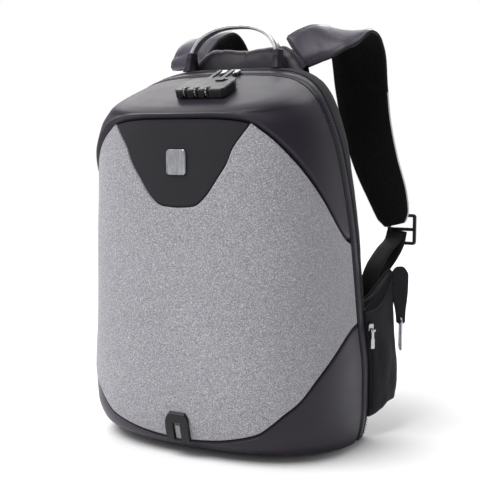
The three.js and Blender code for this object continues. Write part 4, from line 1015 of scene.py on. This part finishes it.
WEB_WIDTH = 22
WEB_THICKNESS = 1.8
WEB_STEPS = 70
WEB_SECTION = np.array([
    (-0.5, -0.2), (-0.5, 0.2), (-0.47, 0.5), (-0.25, 0.5), (0, 0.5), (0.25, 0.5), (0.47, 0.5),
    (0.5, 0.2), (0.5, -0.2), (0.47, -0.5), (0.25, -0.5), (0, -0.5), (-0.25, -0.5), (-0.47, -0.5),
])
# Shares of half width, of rear depth and of height
WEB_ROUTE = [
    [0.985, 2.93, 0.546], [0.97, 2.88, 0.51], [0.93, 2.74, 0.47], [0.885, 2.45, 0.43], [0.87, 2.28, 0.4],
]
WEB_END = [[0.916, 2.02, 0.387], [0.982, 1.77, 0.38], [1.036, 1.54, 0.378]]
TAIL_ROUTE = [
    [0.96, 2.865, 0.542], [0.95, 2.79, 0.52], [0.92, 2.45, 0.495], [0.885, 1.95, 0.45], [0.868, 1.72, 0.405],
    [0.862, 1.62, 0.368], [0.865, 1.66, 0.34], [0.872, 1.8, 0.333], [0.878, 1.98, 0.348],
]


def web(name, points, twist, replaced):
    """twist is the share of the path after which the web turns from level to upright."""
    path = even(catmull(points, np.linspace(0, 1, 400)), WEB_STEPS)
    turned = smoothstep(0.0, 0.5, np.linspace(0, 1, WEB_STEPS) - twist)[:, None]
    wanted = (1 - turned) * np.array([1.0, 0.0, 0.0]) + turned * np.array([0.1, 0.5, -0.8])
    wide, thick = frames(path, wanted)
    u, v = WEB_SECTION[:, 0] * WEB_WIDTH, WEB_SECTION[:, 1] * WEB_THICKNESS
    grid = swept(path, u, v, wide, thick)
    uv = np.stack(np.broadcast_arrays((u * MM)[None], (lengths(path) * MM)[:, None]), -1)
    faces = grid_faces(*grid.shape[:2], False, True)
    vertices = grid.reshape(-1, 3)
    n = len(WEB_SECTION)
    faces.append(tuple(range(n)))
    faces.append(tuple(range(len(vertices) - 1, len(vertices) - 1 - n, -1)))
    piece = new_object(name, vertices, faces, WEBBING, uvs=uv.reshape(-1, 2))
    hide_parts(replaced)
    return piece


for name, hand in HANDS:
    shift = hand * (STRAPS[name][-1][0] - STRAPS["right"][-1][0]) * BODY_HALF_WIDTH
    points = np.concatenate([route(WEB_ROUTE, hand, shift), route(WEB_END, hand)])
    web("webbing_" + name + "_band", points, 0.45, "webbing_" + name)
    web("webbing_tail_" + name + "_band", route(TAIL_ROUTE, hand, shift), 1.0, "webbing_tail_" + name)

# --- wings

WING_REACH = 56
WING_THICKNESS = 20
WING_TOP_LIFT = 47
WING_TIP_LIFT = 17
HEM_RADIUS = 1.2
# Share up, share of the wing's reach, share of its thickness
WING = np.array(
    [[0.06, 0.8, 0.7], [0.097, 0.92, 0.95], [0.19, 0.97, 1.05], [0.29, 1.0, 0.95], [0.345, 1.04, 0.7]]
)
WING_ROOT = (0.7, 0.38, 0.0)
# Share of the reach, distance out and share of half the thickness
WING_OUTLINE = (
    (0.28, 5, 0.6), (0.62, 8, 0.9), (0.94, 12, 0.5), (1.0, 11, 0), (0.94, 9, -0.5), (0.62, 0, -0.9),
)


def rear_surface(up, share, hand, clear):
    """A point that stands clear of the rear shell's right (1) or left (-1) side."""
    y, inset = rear_corner(up, share)
    turn = share * REAR_TURN
    p = rim_point(up, float(hand), y, inset)
    p[0] += hand * clear * math.cos(turn)
    p[1] += clear * math.sin(turn)
    return p


for name, hand in HANDS:
    grid = []
    for up in np.linspace(WING[0, 0], WING[-1, 0], 46):
        reach = read(WING, 1, up)
        fat = read(WING, 2, up)
        bottom_lift = WING_TIP_LIFT * (1 - smoothstep(WING[0, 0], WING[1, 0], up))
        top_lift = WING_TOP_LIFT * smoothstep(WING[3, 0], WING[4, 0], up)
        root = [rear_surface(up, share, hand, 3 * GAP) for share in WING_ROOT]
        front = root[2]
        length, thick = WING_REACH * reach, WING_THICKNESS * fat
        points = list(root)
        for share, out, push in WING_OUTLINE:
            lift = bottom_lift * share + top_lift * share * share
            points.append(front + (hand * (out + push * thick * 0.5), length * share, lift))
        t = np.linspace(0, 1, 300)
        loop = catmull([points[-1], *points, points[0], points[1]], t)
        first = 1 / (len(points) + 2)
        grid.append(even(loop[(t >= first) & (t <= 1 - first)], 61)[:-1])
    grid = np.array(grid)
    middle_line = grid.mean(1, keepdims=True)
    slanted = grid @ np.array([[1, 0, 0], [0, 0.9, 0.45], [0, -0.25, 0.4]])
    folds = 3.0 * grain(slanted, 0.035, 31.0 + hand) + 1.4 * grain(slanted, 0.08, 8.0)
    folds += 0.4 * grain(grid, 0.2, 5.0)
    direction = unit(grid - middle_line)
    from_body = smoothstep(0.0, 12.0, grid[..., 1] - grid[:, :, 1].min(1, keepdims=True))
    grid = grid + direction * (folds * from_body)[..., None]
    wing = skin("wing_" + name + "_cloth", grid, BLACK_CLOTH, (False, True), caps=True)
    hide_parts("wing_" + name)
    top = grid[-1]
    hem = tube("wing_" + name + "_hem", top, HEM_RADIUS, PIPING, 8, closed=True, hint=(0, 0, 1))

# --- side pocket's zip

POCKET_ZIP_BOTTOM = 38
POCKET_ZIP_TOP = 146
POCKET_PLACE = 0.22
POCKET_PROUD = 1.7
POCKET_TOOTH = (1.1, 2.2, 1.1)
POCKET_TOOTH_PITCH = 1.9


def pocket_point(z):
    """A point of the zip, on the wing's outer face between its root and its outline's first point."""
    up = z / BODY_HEIGHT
    root = rear_surface(up, 0.0, 1, 2 * GAP)
    reach = read(WING, 1, up) * WING_REACH
    share, out, push = WING_OUTLINE[0]
    push *= read(WING, 2, up) * WING_THICKNESS * 0.5
    x = root[0] + (out + push) * POCKET_PLACE + POCKET_PROUD
    return np.array([x, root[1] + share * reach * POCKET_PLACE, z])


coil_path = np.array([pocket_point(z) for z in np.linspace(POCKET_ZIP_BOTTOM, POCKET_ZIP_TOP, 40)])
low_box, high_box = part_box("pocket_zip")
axis = unit(np.array([high_box.x - low_box.x, high_box.y - low_box.y, 0.0]))
face = np.array([axis[1], -axis[0], 0.0])
TAPE_SECTION = ((-3.5, -0.4), (-2.6, 0.2), (-0.4, 0.1), (0.4, 0.1), (2.6, 0.2), (3.5, -0.4))
tape = np.stack([coil_path + axis * w + face * b for w, b in TAPE_SECTION], 1)
pocket_tape = skin("pocket_zip_tape", tape, ZIP_TAPE)
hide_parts("pocket_zip")
centres, tangents = along_path(coil_path + face * 0.5, POCKET_TOOTH_PITCH)[:2]
shifted = centres + axis * np.where(np.arange(len(centres)) % 2, 0.5, -0.5)[:, None]
faces_out = np.tile(face, (len(centres), 1))
pocket_teeth = scatter("pocket_zip_teeth", shifted, tangents, faces_out, POCKET_TOOTH, TOOTH, ZIP_TEETH)

# --- ring and tab



def centre_of(box):
    low, high = box
    return (np.array(low) + np.array(high)) / 2 / MM


TAB_TURN = math.radians(28)
RING_LENGTH = 44
RING_WIDTH = 15
RING_WIRE = 1.7
end = RING_WIDTH / 2 - RING_WIRE
straight = RING_LENGTH / 2 - RING_WIDTH / 2
line = []
for hand in (1, -1):
    for turn in np.linspace(0, np.pi, 24):
        y = hand * end * math.cos(turn)
        z = hand * (straight + end * math.sin(turn))
        line.append((-y * math.sin(TAB_TURN), y * math.cos(TAB_TURN), z))
line = np.array(line) + centre_of(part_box("clip_ring"))
line = even(np.concatenate([line, line[:1]]), 97)[:-1]
across_ring = (math.cos(TAB_TURN), math.sin(TAB_TURN), 0)
wire = tube("clip_ring_wire", line, RING_WIRE, BRIGHT_METAL, 14, closed=True, hint=across_ring)
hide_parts("clip_ring")

tab_middle = centre_of(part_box("anchor_tab"))
along_tab = np.array([math.cos(TAB_TURN), math.sin(TAB_TURN), 0.0])
out_of_tab = np.array([math.sin(TAB_TURN), -math.cos(TAB_TURN), 0.0])
FLAP_SEAM_Z = 149
# Height, left edge, right edge, half thickness
FLAP = np.array([
    [135.0, -5.5, 5.5, 2.4], [150.0, -7.0, 6.0, 2.6], [165.0, -10.0, 7.5, 3.0],
    [180.0, -12.5, 8.5, 3.4], [195.0, -13.0, 8.8, 3.4], [207.0, -12.0, 7.5, 2.8],
])
turn = full_turn(40)
grid = []
for share in np.linspace(0, 1, 46):
    z = FLAP[0, 0] + (FLAP[-1, 0] - FLAP[0, 0]) * share
    left, right_edge, thick = (read(FLAP, k, z) for k in (1, 2, 3))
    close = min(1.0, max(min(share / 0.03, (1 - share) / 0.12), 0.0)) ** 0.5
    half = (right_edge - left) / 2 * (0.35 + 0.65 * close)
    u = (left + right_edge) / 2 + half * squared(np.cos(turn), 0.6)
    v = thick * (0.4 + 0.6 * close) * squared(np.sin(turn), 0.85)
    v = v + 0.9 * math.sin(share * 7 + 1.0) * np.cos(0.22 * u + 2 * share)
    centre = np.array([*tab_middle[:2], z])
    grid.append(centre + u[:, None] * along_tab + v[:, None] * out_of_tab)
flap = skin("anchor_flap", np.array(grid), BLACK_CLOTH, (False, True), caps=True)
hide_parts("anchor_tab")
row = np.linspace(-4.5, 4.5, 9)[:, None] * along_tab
line = np.array([*tab_middle[:2], FLAP_SEAM_Z]) + row + 3.0 * out_of_tab
sewn = stitches("anchor_flap_stitches", line, out_of_tab, BLACK_THREAD, 2.6)

# --- dials' figures

FIGURE_HEIGHT = 2.6
FIGURE_START = 0.45
DIAL_RADIUS = 5.2
for number in (1, 2, 3):
    low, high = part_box("dial_%d" % number)
    centre = (low + high) / 2
    parts, faces = [], []
    for digit in range(10):
        text = bpy.data.curves.new("figure", "FONT")
        text.body = str((digit + 3 * number) % 10)
        text.align_x, text.align_y = "CENTER", "CENTER"
        text.size = FIGURE_HEIGHT * MM * 1.3
        text.extrude = 0.00008
        text.resolution_u = 1
        holder = link(bpy.data.objects.new("figure", text))
        bpy.context.view_layer.update()
        shape = holder.to_mesh()
        turn = digit * 2 * math.pi / 10 + FIGURE_START
        first = len(parts)
        for vertex in shape.vertices:
            x, y, z = vertex.co
            radius = DIAL_RADIUS * MM + z + 0.00004
            angle = turn + y / (DIAL_RADIUS * MM)
            figure = np.array((x, -radius * math.cos(angle), radius * math.sin(angle)))
            parts.append((np.array(centre) + figure) / MM)
        faces.extend(tuple(first + k for k in p.vertices) for p in shape.polygons)
        holder.to_mesh_clear()
        bpy.data.objects.remove(holder)
        bpy.data.curves.remove(text)
    dial = "dial_%d" % number
    figures = new_object(dial + "_figures", np.array(parts), faces, DIGIT_PAINT, dial, shade=False)

# --- CAD pieces that stay

KEPT = (
    (BADGE_METAL, ("badge",)),
    (GREY_STRIP, ("tab_strip",)),
    (BLACK_PLASTIC, ("bottom_tab", "buckle_right", "buckle_left")),
    (LOCK_PLASTIC, ("lock_body", "lock_release", "dial_1", "dial_2", "dial_3")),
    (DARK_METAL, ("zip_pull_left", "zip_pull_right")),
    (BRIGHT_METAL, ("zip_slider_left", "zip_slider_right", "pocket_slider", "pocket_pull")),
)
for finish, names in KEPT:
    for name in names:
        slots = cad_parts[name].data.materials
        slots.clear()
        slots.append(finish)

# --- stage and light

FLOOR_REACH = 6
FLOOR_Z = -0.0004
AMBIENT = 0.32
LAMP_AIM = Vector((0, 0, 0.24))
floor_mesh = bpy.data.meshes.new("floor")
corners = ((-1, -1), (1, -1), (1, 1), (-1, 1))
floor_mesh.from_pydata([(x * FLOOR_REACH, y * FLOOR_REACH, FLOOR_Z) for x, y in corners], [], [(0, 1, 2, 3)])
floor = link(bpy.data.objects.new("floor", floor_mesh))
floor_material = Nodes("floor", 0xF9F9FA, 0.75, specular=0.1)
floor.data.materials.append(floor_material.material)

world = bpy.data.worlds.new("world")
bpy.context.scene.world = world
world.use_nodes = True
tree = world.node_tree
sky = tree.nodes["Background"]
seen = tree.nodes.new("ShaderNodeBackground")
for background, strength in ((sky, AMBIENT), (seen, 1.0)):
    background.inputs["Color"].default_value = (1, 1, 1, 1)
    background.inputs["Strength"].default_value = strength
path_kind = tree.nodes.new("ShaderNodeLightPath")
either = tree.nodes.new("ShaderNodeMixShader")
tree.links.new(path_kind.outputs["Is Camera Ray"], either.inputs["Fac"])
tree.links.new(sky.outputs["Background"], either.inputs[1])
tree.links.new(seen.outputs["Background"], either.inputs[2])
tree.links.new(either.outputs["Shader"], tree.nodes["World Output"].inputs["Surface"])

# Kind, name, place, energy and size
LAMPS = (
    ("SUN", "overhead", (-0.5, -0.8, 2.0), 2.75, math.radians(40)),
    ("AREA", "rear_top", (-0.5, 1.2, 1.5), 22, (2.2, 1.2)),
    ("AREA", "left", (-1.7, -1.0, 1.0), 7, (0.8, 1.4)),
)
for kind, name, place, energy, size in LAMPS:
    data = bpy.data.lights.new(name, kind)
    data.energy = energy
    if kind == "SUN":
        data.angle = size
    else:
        data.shape = "RECTANGLE"
        data.size, data.size_y = size
    lamp = link(bpy.data.objects.new(name, data))
    lamp.location = place
    lamp.rotation_mode = "QUATERNION"
    lamp.rotation_quaternion = (LAMP_AIM - Vector(place)).to_track_quat("-Z", "Y")
bpy.context.scene.view_settings.view_transform = "Standard"
